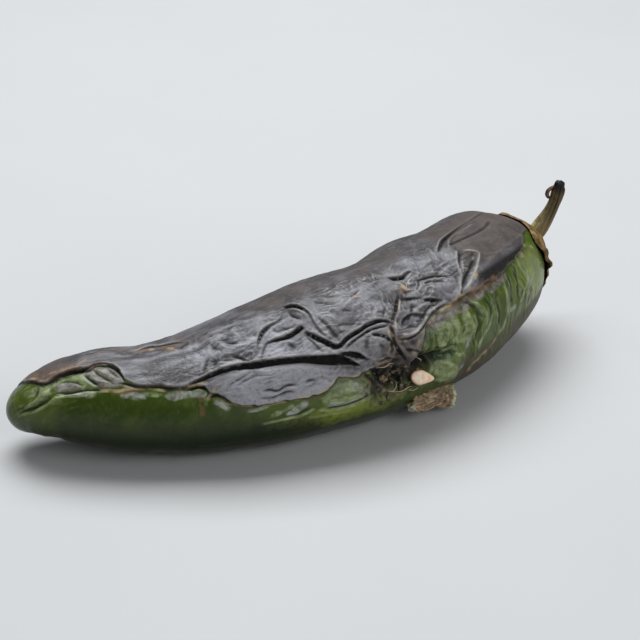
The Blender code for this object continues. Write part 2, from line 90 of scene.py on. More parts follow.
# Tucks: the skin above the gap overhangs it. Each has the lip's height, the gap's
# depth, how far the lip is pushed over the gap, how strong the highlight painted on the lip is,
# and a route of (s, theta, gap width). Each gap is painted near black as shade.
TUCKS = {
    "long_pleat": (0.55, 1.3, 0.3, 0.8, (
        (25.2, 48.5, 0.05), (27.8, 44.8, 0.3), (30, 42.5, 0.45), (32, 41.5, 0.55), (34, 42.3, 0.65),
        (36, 44.4, 0.75), (38, 46, 0.75), (40, 48.2, 0.75), (42, 51.2, 0.9), (44, 55.8, 1.3),
        (45.6, 59, 1.5), (47, 63, 0.9), (48.4, 69, 0.1))),
    "pleat_end": (0.3, 0.9, 0.2, 0.4, (
        (46, 55.5, 0.1), (47.2, 57.5, 0.6), (48.6, 61.5, 0.65), (49.5, 66.5, 0.1))),
    "deep_notch": (0.5, 1.2, 0.25, 0.2, (
        (43.3, 33, 0.2), (44.1, 38, 0.55), (45.1, 44, 0.6), (46, 49.5, 0.5), (46.8, 50, 0.5),
        (47.7, 47.7, 0.5), (48.9, 46.2, 0.5), (50.1, 45.2, 0.5), (51.3, 43.7, 0.45), (52.8, 44, 0.4),
        (54, 47, 0.25), (54.6, 50.5, 0.05))),
    "crown_arc": (0.45, 1, 0.25, 0.3, (
        (42.6, 3, 0.05), (43.4, 6, 0.4), (44.2, 10.5, 0.5), (44.7, 15, 0.35), (45, 21, 0.2),
        (44.9, 29, 0.15), (45.2, 38, 0.15), (45.8, 45, 0.05))),
    "inner_notch": (0.3, 0.7, 0.1, 0.5, (
        (43, 31, 0.05), (43.3, 37, 0.2), (43.8, 44, 0.2), (44.4, 51, 0.05))),
    "panel_top": (0.35, 0.9, 0.2, 0.3, (
        (36.5, 43, 0.05), (37.2, 36, 0.15), (38, 31, 0.2), (38.9, 30.2, 0.3), (40.2, 30.3, 0.45),
        (41.6, 30, 0.5), (42.9, 28.6, 0.55), (43.3, 30.5, 0.1))),
    "arch_rim": (0.45, 0.8, 0.2, 0.5, (
        (36.6, 33, 0.05), (37.2, 26.5, 0.25), (38, 21.5, 0.35), (39, 18, 0.3), (40.2, 16.3, 0.2),
        (41.4, 13.5, 0.15), (42.2, 9, 0.05))),
    "gully": (0.35, 1.1, 0.2, 0.3, (
        (57.4, 32.5, 0.05), (56.6, 37.5, 0.35), (55.7, 42.5, 0.4), (54.9, 46.5, 0.25),
        (54.5, 50, 0.05))),
    "gully_foot": (0.3, 1, 0.2, 0.2, (
        (54.1, 48, 0.05), (53.9, 54, 0.3), (53.6, 62, 0.3), (54, 69, 0.35), (54.4, 76, 0.1))),
    "cheek_under": (0.55, 0.9, 0.2, 0.7, (
        (54.3, 60.5, 0.1), (55.6, 62.5, 0.3), (57, 62, 0.35), (58.4, 59, 0.3), (59.5, 56, 0.15),
        (60.6, 53, 0.05))),
    "small_curve": (0.3, 0.6, 0.1, 0.5, (
        (55.4, 54, 0.05), (56.3, 49.5, 0.3), (57.4, 48.5, 0.25), (58.6, 51, 0.2), (59.9, 54, 0.05))),
    "small_hook": (0.3, 0.7, 0.1, 0.3, (
        (57.3, 35, 0.05), (58.2, 37.5, 0.25), (59.2, 39.5, 0.25), (60.4, 41, 0.05))),
    "small_slit": (0.3, 0.9, 0.15, 0.3, (
        (60, 42.5, 0.05), (60.7, 43.4, 0.35), (61.6, 45, 0.4), (62.6, 47.5, 0.05))),
    "torn_hole": (0.3, 1.4, 0.2, 0.2, (
        (58.1, 16.5, 0.1), (59, 18.8, 0.35), (59.9, 20.8, 0.4), (60.6, 20.6, 0.25), (61.4, 20.5, 0.2),
        (61.9, 22.5, 0.05))),
    "tip_overhang": (0.4, 0.8, 0.2, 0.3, (
        (4.4, 3, 0.05), (6, 19, 0.2), (7.1, 28, 0.2), (7.9, 26.5, 0.25), (8.5, 21.5, 0.35),
        (9.3, 17.5, 0.45), (10.2, 16, 0.5), (11.4, 17, 0.45), (12.6, 18, 0.3), (13.4, 14.5, 0.25),
        (14.6, 14.5, 0.25), (15.4, 18, 0.3), (16.2, 24, 0.3), (16.5, 29, 0.2), (17, 34, 0.05))),
    "tip_lower": (0.3, 0.6, 0.2, 0.2, (
        (16, 38.5, 0.05), (17.2, 38.8, 0.25), (18.4, 40.8, 0.25), (20.4, 41.8, 0.2), (22.4, 43.8, 0.25),
        (24.4, 47, 0.25), (26.6, 47.5, 0.05))),
    "top_groove": (0.4, 0.9, 0.2, 0.2, (
        (68.5, 15, 0.05), (70, 11, 0.35), (71.8, 6.5, 0.4), (73.6, 4, 0.35), (75.5, 2, 0.25),
        (77.5, 0.3, 0.2), (80, -1.5, 0.05))),
    "flank_slit": (0.2, 0.5, 0.1, 0.3, (
        (78.6, 51, 0.05), (79.1, 55, 0.2), (78.8, 61, 0.2), (78.4, 68, 0.05))),
    "slit_tip_top": (0.2, 0.6, 0.1, 0.2, (
        (9.9, -17, 0.05), (11.6, -15, 0.15), (13, -14, 0.2), (14.2, -18, 0.05))),
    "slit_top": (0.3, 0.6, 0.1, 0.4, (
        (18.6, -9, 0.05), (20.4, -11.5, 0.2), (21.8, -12, 0.25), (23, -9.5, 0.25), (25.6, -7, 0.25),
        (27.7, -2, 0.05))),
}

# Creases are sharp valleys and crests are sharp ridges. Each has its depth or height, how dark
# its painted shade line or how light its painted highlight is, and a route of (s, theta).
CREASES = {
    "wave_line": (0.35, 0.9, ((47, 54), (48.4, 51), (50, 49), (51.2, 47.6), (52.4, 48.5), (54, 49.5))),
    "facet_top": (0.6, 1, ((50.9, 49.5), (51.8, 52.5), (52.7, 55.5), (53.2, 60), (53.2, 67))),
    "facet_left": (0.3, 0.3, ((50.8, 50.5), (50, 55), (49.6, 61))),
    "facet_fold": (0.25, 0.4, ((51.2, 57), (52, 62), (52.4, 64))),
    "panel_seam": (0.2, 0.2, ((40.6, 34), (41, 38), (41.4, 43))),
    "tent_left": (0.3, 0.6, ((42.6, 11), (42.9, 17), (43.4, 22), (44, 24.5))),
    "arch_fold": (0.3, 0.4, ((39.6, 25), (40.4, 24), (41.8, 25.5), (42.4, 26.5))),
    "left_dark": (0.25, 0.5, ((32.8, 12), (33.3, 17), (34, 22), (34.9, 25))),
    "left_joint": (0.35, 0.8, ((33, 30.5), (33.9, 35), (35.3, 41.5))),
    "left_arc": (0.2, 0.35, ((31.2, 14), (31.6, 20), (32.2, 24.5), (32.4, 29))),
    "left_fan": (0.2, 0.35, ((28.9, 41), (29.6, 35), (30.6, 26))),
    "left_fan_two": (0.18, 0.3, ((30.4, 39.5), (31, 35), (31.6, 31))),
    "sheet_line": (0.2, 0.35, ((31.5, 56), (33.6, 51.5), (35.6, 47.8))),
    "sheet_line_two": (0.15, 0.25, ((32.4, 57.5), (34.6, 53), (36.2, 50))),
    "sheet_hem": (0.2, 0.8, ((35.2, 66.5), (36.4, 66.5), (37.4, 69.5), (38.6, 67.5), (40.3, 69.5))),
    "sheet_hem_two": (0.16, 0.45, ((34.6, 71), (36.6, 73.5), (38.6, 72.5), (39.8, 75.5))),
    "sheet_mark": (0.25, 0.4, ((40.6, 70.5), (41.6, 68.5), (42.8, 71))),
    "sheet_mark_two": (0.2, 0.3, ((41.2, 73.5), (42.2, 72.5), (43, 73.5))),
    "brow_one": (0.35, 0.7, ((61, 29), (62.6, 28.5), (64.4, 31), (65.7, 34), (66.7, 38.5))),
    "brow_two": (0.3, 0.5, ((61.9, 31.5), (63.3, 33), (64.5, 36), (65.3, 40))),
    "brow_three": (0.2, 0.3, ((62, 35), (62.7, 39.5), (63.2, 43))),
    "chevron_dark": (0.5, 0.9, ((66.9, 47), (68.6, 41.8), (70.2, 38.3), (71.7, 35), (72.2, 31.5))),
    "chevron_dark_two": (0.35, 0.5, ((69, 34), (70, 29), (71.4, 25.5))),
    "chevron_dark_three": (0.3, 0.5, ((66.4, 44), (67.2, 39), (67.5, 35))),
    "wrinkle_a": (0.19, 0.4, ((46.6, 9), (47.6, 15), (49, 22))),
    "wrinkle_b": (0.17, 0.4, ((48, 7), (49, 12), (50.8, 17))),
    "wrinkle_c": (0.22, 0.5, ((48.6, 27), (49.6, 29), (50.6, 33))),
    "wrinkle_d": (0.15, 0.3, ((46.6, 35), (48.4, 38), (50.2, 42))),
    "wrinkle_e": (0.19, 0.8, ((51, 20.5), (52.2, 19.5), (53.4, 17))),
    "wrinkle_f": (0.15, 0.4, ((52.6, 37), (54.4, 40), (56, 39))),
    "wrinkle_g": (0.11, 0.3, ((53.6, 12), (55.4, 12), (57.4, 15))),
    "fan_a": (0.25, 0.4, ((45.6, 24), (46.2, 32), (46.6, 42), (46.8, 48))),
    "fan_b": (0.15, 0.3, ((47.2, 40), (47.6, 43.5), (47.4, 46.5))),
    "cheek_split": (0.35, 0.6, ((56.4, 52.5), (57.8, 46), (58.4, 41.5))),
    "cheek_split_two": (0.3, 0.6, ((58, 57.5), (58.6, 54.5), (59.6, 50), (61.2, 48.5))),
    "cheek_split_three": (0.25, 0.5, ((59.6, 47.5), (60.6, 48.5), (62, 50.5))),
    "gully_left": (0.3, 0.6, ((55, 35.5), (54, 40.5), (53.4, 44.5))),
    "lower_lump": (0.4, 0.6, ((54.6, 69), (56, 72), (57.3, 77))),
    "lower_lump_two": (0.3, 0.6, ((50.6, 72), (52, 70.5), (53.4, 73.5))),
    "top_slit_two": (0.2, 0.4, ((25.6, 2.5), (26.8, 3.5), (28.2, 3))),
    "membrane_fold": (0.25, 0.9, (
        (8.6, 47), (10, 48), (11, 46.5), (12.2, 45.3), (13.6, 45.8), (14.8, 46.2))),
    "membrane_fold_two": (0.3, 0.8, ((11.8, 22), (12.4, 29), (13.4, 37), (14.4, 43))),
    "membrane_fold_three": (0.25, 0.7, ((13.2, 18.5), (13.8, 26), (15, 35), (16, 41))),
    "membrane_fold_four": (0.25, 0.6, ((14.8, 18), (15.5, 26), (16.6, 34))),
    "grey_patch_rim": (0.15, 0.7, (
        (8.3, 36), (8.7, 31), (9.6, 30.5), (10.8, 34), (11.6, 38), (12.2, 42))),
    "tip_step": (0.3, 0.5, ((6.4, 26), (6.3, 33), (6, 41), (5.2, 48))),
    "tip_step_two": (0.2, 0.4, ((2.4, 57), (3.6, 56.5), (4.8, 53))),
    "tip_step_three": (0.25, 0.4, ((3, 64), (5.2, 61.5), (6.8, 57), (7.8, 52))),
    "tan_arch": (0.5, 1, ((25.8, 50.5), (27.2, 49.8), (28.2, 50.5), (28.8, 53), (29, 56))),
    "green_arch": (0.4, 0.7, (
        (28.7, 63), (29.3, 60.8), (30.1, 60.6), (30.8, 63.5), (31.3, 68), (31.9, 72))),
    "orange_side": (0.1, 0.2, ((27.4, 57), (27.2, 65), (27.2, 74))),
    "lens_rim": (0.4, 0.9, ((48.6, 76), (49.3, 81), (49.9, 86.5), (50.2, 92.5))),
    "lens_foot": (0.3, 0.5, ((42.8, 95.8), (45, 97.2), (47, 97.2), (49, 95.8))),
    "glint_foot": (0.2, 0.4, ((37.8, 94.5), (39.2, 95.8), (40.6, 93), (41.6, 90.5))),
    "bulge_dark": (0.2, 0.3, ((59.2, 76), (60.4, 80), (61.6, 81), (63.2, 79))),
    "bulge_fold": (0.15, 0.2, ((64.2, 64), (64.4, 71), (63.9, 77), (62.9, 81))),
    "bulge_fold_two": (0.12, 0.15, ((60.6, 66), (61.2, 72), (60.9, 78))),
    "bulge_fold_three": (0.12, 0.15, ((62.4, 61), (62.7, 68), (62.3, 75))),
    "bulge_side": (0.3, 0.35, ((66.8, 62), (67.4, 68), (67.6, 76), (66.6, 85), (66.4, 93))),
    "flank_dark": (0.35, 0.6, ((78.7, 54), (78.5, 62), (78.3, 70), (77.8, 80))),
    "flank_dark_two": (0.25, 0.3, ((76.6, 55), (76.8, 63), (76.2, 72), (75.8, 80))),
    "flank_dark_three": (0.25, 0.25, ((72.6, 60), (72.2, 70), (72.4, 80), (71.6, 88))),
    "top_shadow": (0.3, 0.3, ((71.3, 13.5), (74, 13.5), (77, 14.5), (80, 14.5), (83, 11))),
    "shoulder_line": (0.2, 0.3, ((80, -1), (83, -3), (86, -6))),
    "flank_arc": (0.3, 0.4, ((65.6, 55), (66.8, 58), (67.4, 63), (67.8, 68), (68.2, 73))),
    "flank_arc_two": (0.22, 0.4, ((69.4, 58), (70.2, 64), (70.4, 72), (69.6, 80))),
    "burst_split": (0.5, 1, ((52.6, 80), (53.4, 84), (53, 90), (53.8, 96), (54.6, 103))),
    "burst_split_two": (0.4, 1, ((50.2, 78), (50.8, 84), (51.8, 90), (51.4, 97))),
    "green_edge": (0.4, 0.8, ((50.1, 73), (50.6, 79), (50.7, 86), (51.4, 94), (52.4, 100))),
}
CRESTS = {
    "wave_lip": (0.35, 0.8, (
        (46.8, 52.6), (48.2, 49.6), (49.8, 47.5), (51.4, 45.8), (53, 46.5), (54.2, 48.6))),
    "cheek_crest": (0.5, 0.8, (
        (54.6, 58), (56.2, 60.3), (57.6, 58.5), (58.8, 55), (60.2, 51.8), (62, 50.3), (63.8, 50.6))),
    "cheek_fan": (0.35, 0.8, ((56.6, 57), (57.6, 53.5), (59, 54))),
    "cheek_fan_two": (0.3, 0.6, ((58.4, 47.5), (59.6, 46), (60.6, 46.8))),
    "chevron_one": (0.5, 0.9, (
        (64.4, 51), (66, 48), (66.9, 44), (67.9, 40), (68.3, 36.5), (68.7, 33), (69.5, 28.5),
        (70.5, 24), (71.5, 20))),
    "chevron_two": (0.5, 0.9, (
        (66.1, 49.5), (67.4, 48), (68.7, 45.5), (70, 43), (71.2, 40), (72.4, 36.5), (73.6, 33),
        (73.8, 30.5), (73, 27), (72, 22.5))),
    "chevron_knot": (0.4, 1, ((71.6, 33.5), (72.4, 32.5), (72.8, 30))),
    "chevron_mid": (0.3, 0.5, ((67.3, 43.5), (68.4, 39), (69.4, 35), (70.2, 30.5))),
    "shoulder_edge": (0.45, 0, (
        (70.9, 44.2), (73, 41.5), (75.2, 39.5), (77.6, 38.2), (80, 38), (83, 37.5), (85.6, 36.5))),
    "top_band": (0.4, 0, ((70.6, 16.5), (72.4, 10.5), (74.4, 7.5), (77, 6.5), (80, 5))),
    "round_facet_lip": (0.25, 0.5, ((49.3, 62), (50.2, 67), (51.6, 69), (52.6, 66.5))),
    "arch_bright": (0.3, 0.8, (
        (37.5, 31), (38, 26.5), (38.9, 22.5), (40.2, 20), (41.6, 18), (42.2, 14))),
    "panel_lip": (0.15, 0.6, ((38.6, 28), (40.4, 27.8), (42.2, 26.8))),
    "tent_ridge": (0.35, 0.4, ((43, 8), (43.7, 14), (44.3, 20), (44.6, 26))),
    "v_ridge": (0.22, 0.4, ((30.4, 22), (31.8, 12), (32.4, 16), (32.8, 22), (33.6, 27))),
    "v_ridge_two": (0.2, 0.4, ((28.4, 43), (28.9, 36), (30, 27), (31, 22))),
    "blister_ridge": (0.18, 0.4, ((33.6, 8), (34.4, 15), (35.6, 20), (36.2, 27))),
    "blister_ridge_two": (0.18, 0.4, ((36, 4), (37.6, 4.5), (38.8, 8), (39.4, 13))),
    "gully_tan": (0.35, 0.7, ((55.2, 45.5), (54.6, 52), (54.3, 58))),
    "gully_tan_two": (0.3, 0.6, ((53.3, 51), (53.1, 58), (53.4, 66), (53, 71))),
    "wave_top": (0.25, 0.2, ((48.6, 42), (50.2, 40.5), (51.8, 39.5), (53.4, 41.5))),
    "left_crest": (0.2, 0.4, ((32, 33), (33, 38), (34.6, 40))),
    "sheet_hem_crest": (0.25, 0.6, ((35.6, 70), (37.2, 72), (38.8, 70), (40.2, 72.5))),
    "membrane_crest": (0.3, 0.4, ((12.6, 19), (14, 15.5), (15.2, 17), (15.8, 24))),
    "membrane_crest_two": (0.25, 0.5, ((12.8, 30), (14, 36.5), (15.6, 37.5))),
    "flank_crest": (0.3, 0.2, ((66.6, 57.5), (68.2, 62), (68.9, 70), (68.4, 80))),
    "tip_ridge": (0.35, 0.7, ((4, 57.5), (5.4, 55), (6.4, 50), (7.2, 43), (7.7, 36))),
    "tip_ridge_two": (0.35, 0.7, (
        (3, 69.5), (4.8, 68.5), (6.4, 65), (7.6, 60), (8.4, 54), (9.6, 51), (12, 49.7))),
    "lens_ridge": (0.3, 0, ((43.6, 91), (45.2, 93), (47, 93), (49, 91))),
    "bulge_crest": (0.3, 0.3, ((61.6, 60), (61.8, 66), (61.2, 72), (60.3, 77))),
    "bulge_crest_two": (0.3, 0.3, ((65.6, 62), (65.6, 69), (66, 76), (65.2, 81))),
    "flank_ridge": (0.3, 0.2, ((74.8, 58), (74.6, 70), (74.4, 80), (74, 89))),
    "flank_ridge_two": (0.3, 0.2, ((81.8, 64), (80.4, 73), (78.9, 79), (78, 85))),
    "small_v": (0.2, 0.4, ((67.4, 5), (68.2, 9), (67.6, 14), (68.4, 16))),
}

# Lines of colour on the skin: torn edges, dried rims, stretched films, and painted highlights
# where the skin is glossy. Each has its tone, how strong and how wide it is, and a route of (s, theta).
LINES = {
    "sheet_edge": ("cream", 0.9, 0.2, (
        (31.2, 65.5), (31.6, 69.5), (32.6, 74.2), (34.4, 77.2), (35.8, 79.3), (38.4, 80.2),
        (39.8, 81.5), (40.8, 82.7), (41.8, 79.8), (42.8, 80.5), (43.6, 79.2), (44.4, 75.8),
        (45.4, 73.3), (46.6, 75.3), (47.8, 76.2), (48.8, 75.2))),
    "sheet_peach": ("cream", 0.7, 0.5, ((39.6, 79.5), (40.6, 80.5), (41.4, 79))),
    "tip_streak": ("pale", 0.9, 0.35, ((4, 57.5), (5.4, 55), (6.4, 50), (7.2, 43), (7.7, 36))),
    "tip_streak_two": ("pale", 1, 0.3, (
        (2.6, 70), (4.8, 68.5), (6.4, 65), (7.6, 60), (8.4, 54), (9.6, 51), (12.4, 49.5))),
    "tip_dash": ("pale", 0.8, 0.3, ((2, 50), (2.8, 50))),
    "tip_dash_two": ("pale", 0.8, 0.3, ((3.2, 51.5), (4.6, 52.3))),
    "oval_rim": ("pale", 0.8, 0.25, ((8, 39), (8.2, 34), (8.8, 29.5), (10, 28.5), (11.4, 32))),
    "tip_cream": ("cream", 0.9, 0.3, (
        (13.8, 47), (15.4, 46.6), (16.4, 46.5), (17.2, 44.8), (18, 43.2), (19.2, 43), (20.8, 43.2),
        (22, 45.2), (23.2, 47.6), (24.6, 48.3), (26, 48.2), (27.4, 48), (29.4, 48.2))),
    "tip_rust": ("rust", 0.9, 0.2, ((15.4, 49.2), (16.8, 48.8), (17.8, 47), (18.8, 45), (20.8, 44.8))),
    "tip_peach": ("cream", 0.9, 0.2, ((16.6, 40.6), (18, 41.6), (20.2, 42.2))),
    "overhang_rust": ("rust", 1, 0.4, (
        (5, 8), (6.2, 16), (7.3, 24.5), (8, 22.5), (9, 16.5), (10.2, 14.3), (11.6, 15.2), (12.7, 16),
        (13.5, 12.8), (14.7, 12.8), (15.6, 16), (16.5, 22.5))),
    "overhang_light": ("cream", 0.7, 0.15, (
        (6.2, 17.5), (7.3, 26), (8, 24), (9, 18), (10.2, 15.6), (11.6, 16.6), (12.7, 17.2))),
    "tip_tan": ("rust", 0.8, 0.8, ((6.6, 15), (8, 11.5), (9.6, 8.5), (11.4, 4), (13, 1))),
    "tip_corner": ("cream", 0.8, 0.35, ((4.2, -16), (4.4, -4), (5.6, 8), (6.6, 17))),
    "tip_corner_two": ("rust", 0.9, 0.7, ((4.8, -24), (5.2, -8), (6.4, 4), (7.6, 12))),
    "tip_crack": ("cream", 0.7, 0.3, ((7.6, 14), (9.2, 11), (10.8, 8), (12.4, 1))),
    "tip_crack_two": ("rust", 0.7, 0.4, ((13, -4), (14.2, -10), (15.6, -14), (17.4, -16))),
    "pale_crossing": ("cream", 0.8, 0.25, (
        (28.5, 64), (29.2, 60), (29.8, 56.5), (30.5, 53), (31, 49.5))),
    "orange_drip": ("rust", 0.8, 0.6, ((27.7, 58), (27.8, 64), (27.8, 71), (27.6, 79))),
    "drip_side": ("pale", 0.4, 0.3, ((28.4, 57), (28.5, 63), (28.3, 70))),
    "arch_olive": ("rust", 0.7, 0.35, (
        (28.8, 63.5), (29.4, 61.5), (30.1, 61.3), (30.7, 64), (31.2, 68.5), (31.8, 73))),
    "white_spark": ("white_and_glint", 1, 0.5, ((29.4, 65.5), (30.2, 68.5), (30.8, 73), (31.3, 76.5))),
    "white_spark_two": ("white_and_glint", 0.9, 0.35, ((33.2, 81), (34.4, 82), (35.4, 81.2), (36.2, 79.8))),
    "film_line": ("pale", 0.9, 0.25, (
        (34.8, 97.5), (36, 97.2), (38.4, 97.4), (39.8, 97.6), (41, 95), (41.8, 93))),
    "lens_shine": ("white_and_glint", 0.9, 0.6, ((43.2, 92), (44.6, 94), (46.6, 94.3), (48.2, 93.6), (49.4, 91))),
    "lens_border": ("rust", 0.9, 0.3, ((48.5, 75.8), (49.2, 81), (49.8, 86.5), (50.1, 92))),
    "lens_border_two": ("cream", 0.5, 0.15, ((48.9, 76.5), (49.6, 82), (50.2, 87))),
    "belly_line": ("pale", 0.8, 0.3, ((42, 95.5), (43.6, 98), (46.4, 99.6), (48.4, 98.6), (50.2, 99))),
    "belly_line_two": ("pale", 0.4, 0.3, ((40.6, 101), (43.6, 102.6), (46.6, 103.4))),
    "gully_strip": ("cream", 0.7, 0.35, ((57.2, 34.5), (56.3, 40.5), (55.3, 46.5), (54.7, 53))),
    "gully_strip_two": ("cream", 0.8, 0.3, ((53.6, 49.5), (53.4, 56), (53, 64), (52.2, 69))),
    "gully_rust": ("rust", 0.8, 0.3, ((54.1, 49.5), (53.9, 56), (53.6, 64), (53.2, 72))),
    "hole_fuzz": ("cream", 0.9, 0.45, ((58.2, 22.5), (58.6, 26), (58.9, 30.5), (59.2, 34))),
    "hole_rust": ("rust", 0.9, 0.4, ((57.6, 24), (57.9, 29), (58.3, 34.5))),
    "burst_rim": ("cream", 0.8, 0.25, ((50.4, 73.5), (51.4, 73), (52.6, 74.5))),
    "burst_rim_two": ("cream", 0.6, 0.3, ((51.2, 99), (52.4, 103), (54, 104.5))),
    "burst_fold_light": ("cream", 0.5, 0.25, ((55, 75.5), (56, 72), (57, 68), (57.4, 65))),
    "burst_fold_olive": ("pale", 0.6, 0.35, ((54.4, 82), (55.6, 80), (56.6, 76), (57.2, 71))),
    "cheek_cream": ("cream", 0.9, 0.22, (
        (54.2, 62.3), (55.4, 62.6), (56.4, 61.8), (57.4, 62.3), (58.2, 60.8), (59.4, 58.3),
        (60.6, 55.3), (62, 53.8), (63.6, 53.1), (64.8, 52), (66.6, 50), (68.8, 46.3), (71.4, 42.3))),
    "shoulder_rust": ("rust", 0.9, 0.7, (
        (63, 54.5), (64.8, 53.3), (66.4, 53.8), (68.2, 52.8), (70.6, 52.3), (72.8, 52), (75.2, 51.8))),
    "flank_tan": ("cream", 0.7, 0.7, ((70.4, 53.5), (71.3, 54.3))),
    "flank_tan_two": ("cream", 0.5, 0.4, ((69, 56), (70, 57.5))),
    "flank_cream": ("cream", 0.9, 0.4, ((79.8, 54.5), (80.4, 54.8))),
    "flank_tan_three": ("cream", 0.5, 0.7, ((81.2, 49.5), (82.4, 50.5), (83.2, 52))),
    "lavender": ("white_and_glint", 0.5, 0.35, ((73.8, 52.5), (73.7, 55.5), (73.9, 58))),
    "lavender_two": ("white_and_glint", 0.5, 0.35, ((71.9, 55), (71.8, 58), (72.2, 60.5))),
    "lavender_three": ("white_and_glint", 0.4, 0.3, ((75.3, 55), (75.2, 60), (75, 64))),
    "arc_light": ("pale", 0.7, 0.25, ((66.5, 56), (67.7, 60), (68.3, 66), (68.8, 72))),
    "bulge_line": ("pale", 0.9, 0.3, ((62.4, 87), (63.2, 91), (64.6, 93))),
    "bulge_line_two": ("pale", 0.9, 0.3, ((60.6, 84.5), (61.4, 83.5), (62, 81.5), (62.9, 86))),
    "bulge_line_three": ("pale", 0.7, 0.25, ((58, 67), (58, 72.5), (58.2, 77.5))),
    "bulge_line_four": ("pale", 0.8, 0.25, ((63.7, 63), (63.3, 69), (63.2, 74), (62, 77.5))),
    "bulge_line_five": ("pale", 0.8, 0.25, ((66.4, 66), (66.9, 72), (66.6, 79), (65.4, 80), (64, 84))),
    "bulge_spark": ("white_and_glint", 0.9, 0.45, ((65.7, 80.5), (65.4, 85), (65, 91.5))),
    "bulge_spark_two": ("white_and_glint", 0.7, 0.2, ((59.2, 62), (59.4, 66))),
    "leaf_rim": ("pale", 0.9, 0.25, (
        (58.7, 98), (59.4, 93.8), (60.3, 91.5), (61.6, 95), (62.5, 100), (62.2, 106), (61, 111))),
    "leaf_spark": ("white_and_glint", 1, 0.35, ((63, 104.2), (64, 104.4), (65, 103))),
    "flank_line": ("pale", 0.9, 0.3, ((82.2, 62), (81.4, 69), (80, 75), (78.8, 79.5), (78, 84))),
    "flank_line_two": ("pale", 0.8, 0.25, ((84.2, 69), (83, 74.5), (81.4, 78.5))),
    "flank_line_three": ("pale", 0.9, 0.3, (
        (70.6, 74), (69.8, 81), (68.6, 86), (67.8, 91), (67.4, 98))),
    "flank_line_four": ("pale", 0.6, 0.25, ((72.4, 64), (72, 72), (71.8, 80))),
    "flank_line_five": ("pale", 0.6, 0.25, ((76.6, 58), (76.4, 66), (76.2, 75))),
    "flank_seam": ("pale", 0.8, 0.35, ((74.9, 60), (74.6, 70), (74.4, 76), (74.3, 84))),
    "flank_seam_low": ("cream", 0.6, 0.4, (
        (74.2, 86), (73.2, 93), (71.6, 97), (70, 103), (68, 107.5), (66.6, 112), (66.6, 120))),
    "flank_knot": ("white_and_glint", 0.8, 0.5, ((74.8, 83.5), (75.8, 83), (77.4, 85))),
    "top_tan": ("cream", 0.7, 0.5, ((21.4, -7), (22.6, -4.5), (23.6, -4.5))),
    "top_tan_two": ("cream", 0.7, 0.4, ((24.2, -1.5), (25, 1), (25.8, 2.5))),
    "top_tan_three": ("cream", 0.6, 0.3, ((17.6, -13), (19.4, -13.5), (21, -14.5))),
    "top_rust": ("rust", 0.8, 0.9, ((19, -9.5), (21.5, -7.5), (24, -4.5), (26.5, -1))),
    "top_rust_two": ("rust", 0.6, 0.7, ((23, 2.5), (25.5, 5), (28, 6))),
    "slit_tan": ("cream", 0.7, 0.2, ((50.8, 22), (52, 21.5), (53.2, 19))),
    "stem_cream": ("cream", 0.5, 0.35, ((83.4, 44), (85.4, 48), (87, 54))),
}

# Films and stains: tone, strength, s, theta, half length, half width, slant. Their
# edges are torn. Some of the white ones are painted highlights on glossy skin.
FILMS = {
    "tip_facet": ("pale", 0.75, 5.3, 36, 1.2, 0.9, 0),
    "tip_light": ("pale", 0.9, 7.2, 40, 0.7, 1.5, 0),
    "tip_veil": ("pale", 0.62, 12.4, 36, 3.6, 2.1, 6),
    "oval_patch": ("ash", 1, 9.9, 39, 1.7, 0.85, 10),
    "folded_patch": ("ash", 1.1, 14.4, 30, 2.2, 1.5, 32),
    "shelf": ("white_and_glint", 0.75, 12.2, 51, 2.2, 0.4, -2),
    "window_patch": ("white_and_glint", 1, 18.7, 50.5, 1.8, 0.75, 0),
    "window_patch_two": ("pale", 0.9, 21.6, 50.5, 1.2, 0.4, 10),
    "white_film": ("white_and_glint", 0.95, 25, 54, 2.5, 0.75, 6),
    "drip_film": ("white_and_glint", 0.8, 28.2, 56, 0.9, 0.6, 0),
    # painted highlight: a glint on the glossy green skin
    "glint": ("white_and_glint", 1.2, 39.5, 90, 1.7, 0.7, -30),
    "glint_side": ("pale", 0.8, 37.4, 89, 2, 0.5, -20),
    "lens": ("pale", 1.3, 46.4, 88, 3.4, 1.7, 4),
    # painted highlight on the lens's top
    "lens_top": ("white_and_glint", 0.55, 48, 84.5, 1.4, 0.9, 20),
    "belly": ("lime", 1.2, 44, 106, 8, 2.2, 0),
    "belly_right": ("lime", 1, 52, 108, 3, 1.4, 0),
    "tip_lime": ("lime", 0.6, 21.6, 45.8, 1.4, 0.35, 0),
    "stem_lime": ("lime", 0.35, 84, 68, 7, 5, 0),
    "film_edge": ("ash", 1.1, 61.4, 58.8, 2.4, 0.95, 0),
    "film_edge_two": ("ash", 1, 64.8, 57, 2.4, 1, 0),
    "film_edge_three": ("ash", 1, 68.6, 55.6, 1.8, 0.9, 0),
    "film_edge_four": ("ash", 1, 72.4, 55.6, 1.7, 1.1, 0),
    "film_edge_five": ("ash", 0.8, 75.4, 55, 1.4, 0.9, 0),
    "bulge_film": ("pale", 1.3, 62, 66, 2, 2, 0),
    "bulge_film_low": ("pale", 1, 60.4, 74, 0.6, 1.4, -10),
    "bulge_film_right": ("pale", 1.2, 65.5, 72, 0.9, 2.6, 0),
    "bulge_film_end": ("pale", 0.9, 64, 79, 1.2, 0.8, 0),
    "leaf": ("pale", 1.1, 60.6, 102, 1.4, 1.8, 0),
    "burst_green": ("deep", 1.2, 60.2, 84, 2.6, 1.5, 0),
    "belly_deep": ("deep", 0.8, 36, 108, 8, 2, 0),
    "flank_deep": ("deep", 0.6, 80.5, 84, 3, 2.4, 0),
    "burst_ash": ("ash", 0.9, 54.4, 71.5, 2.6, 1.4, 0),
}

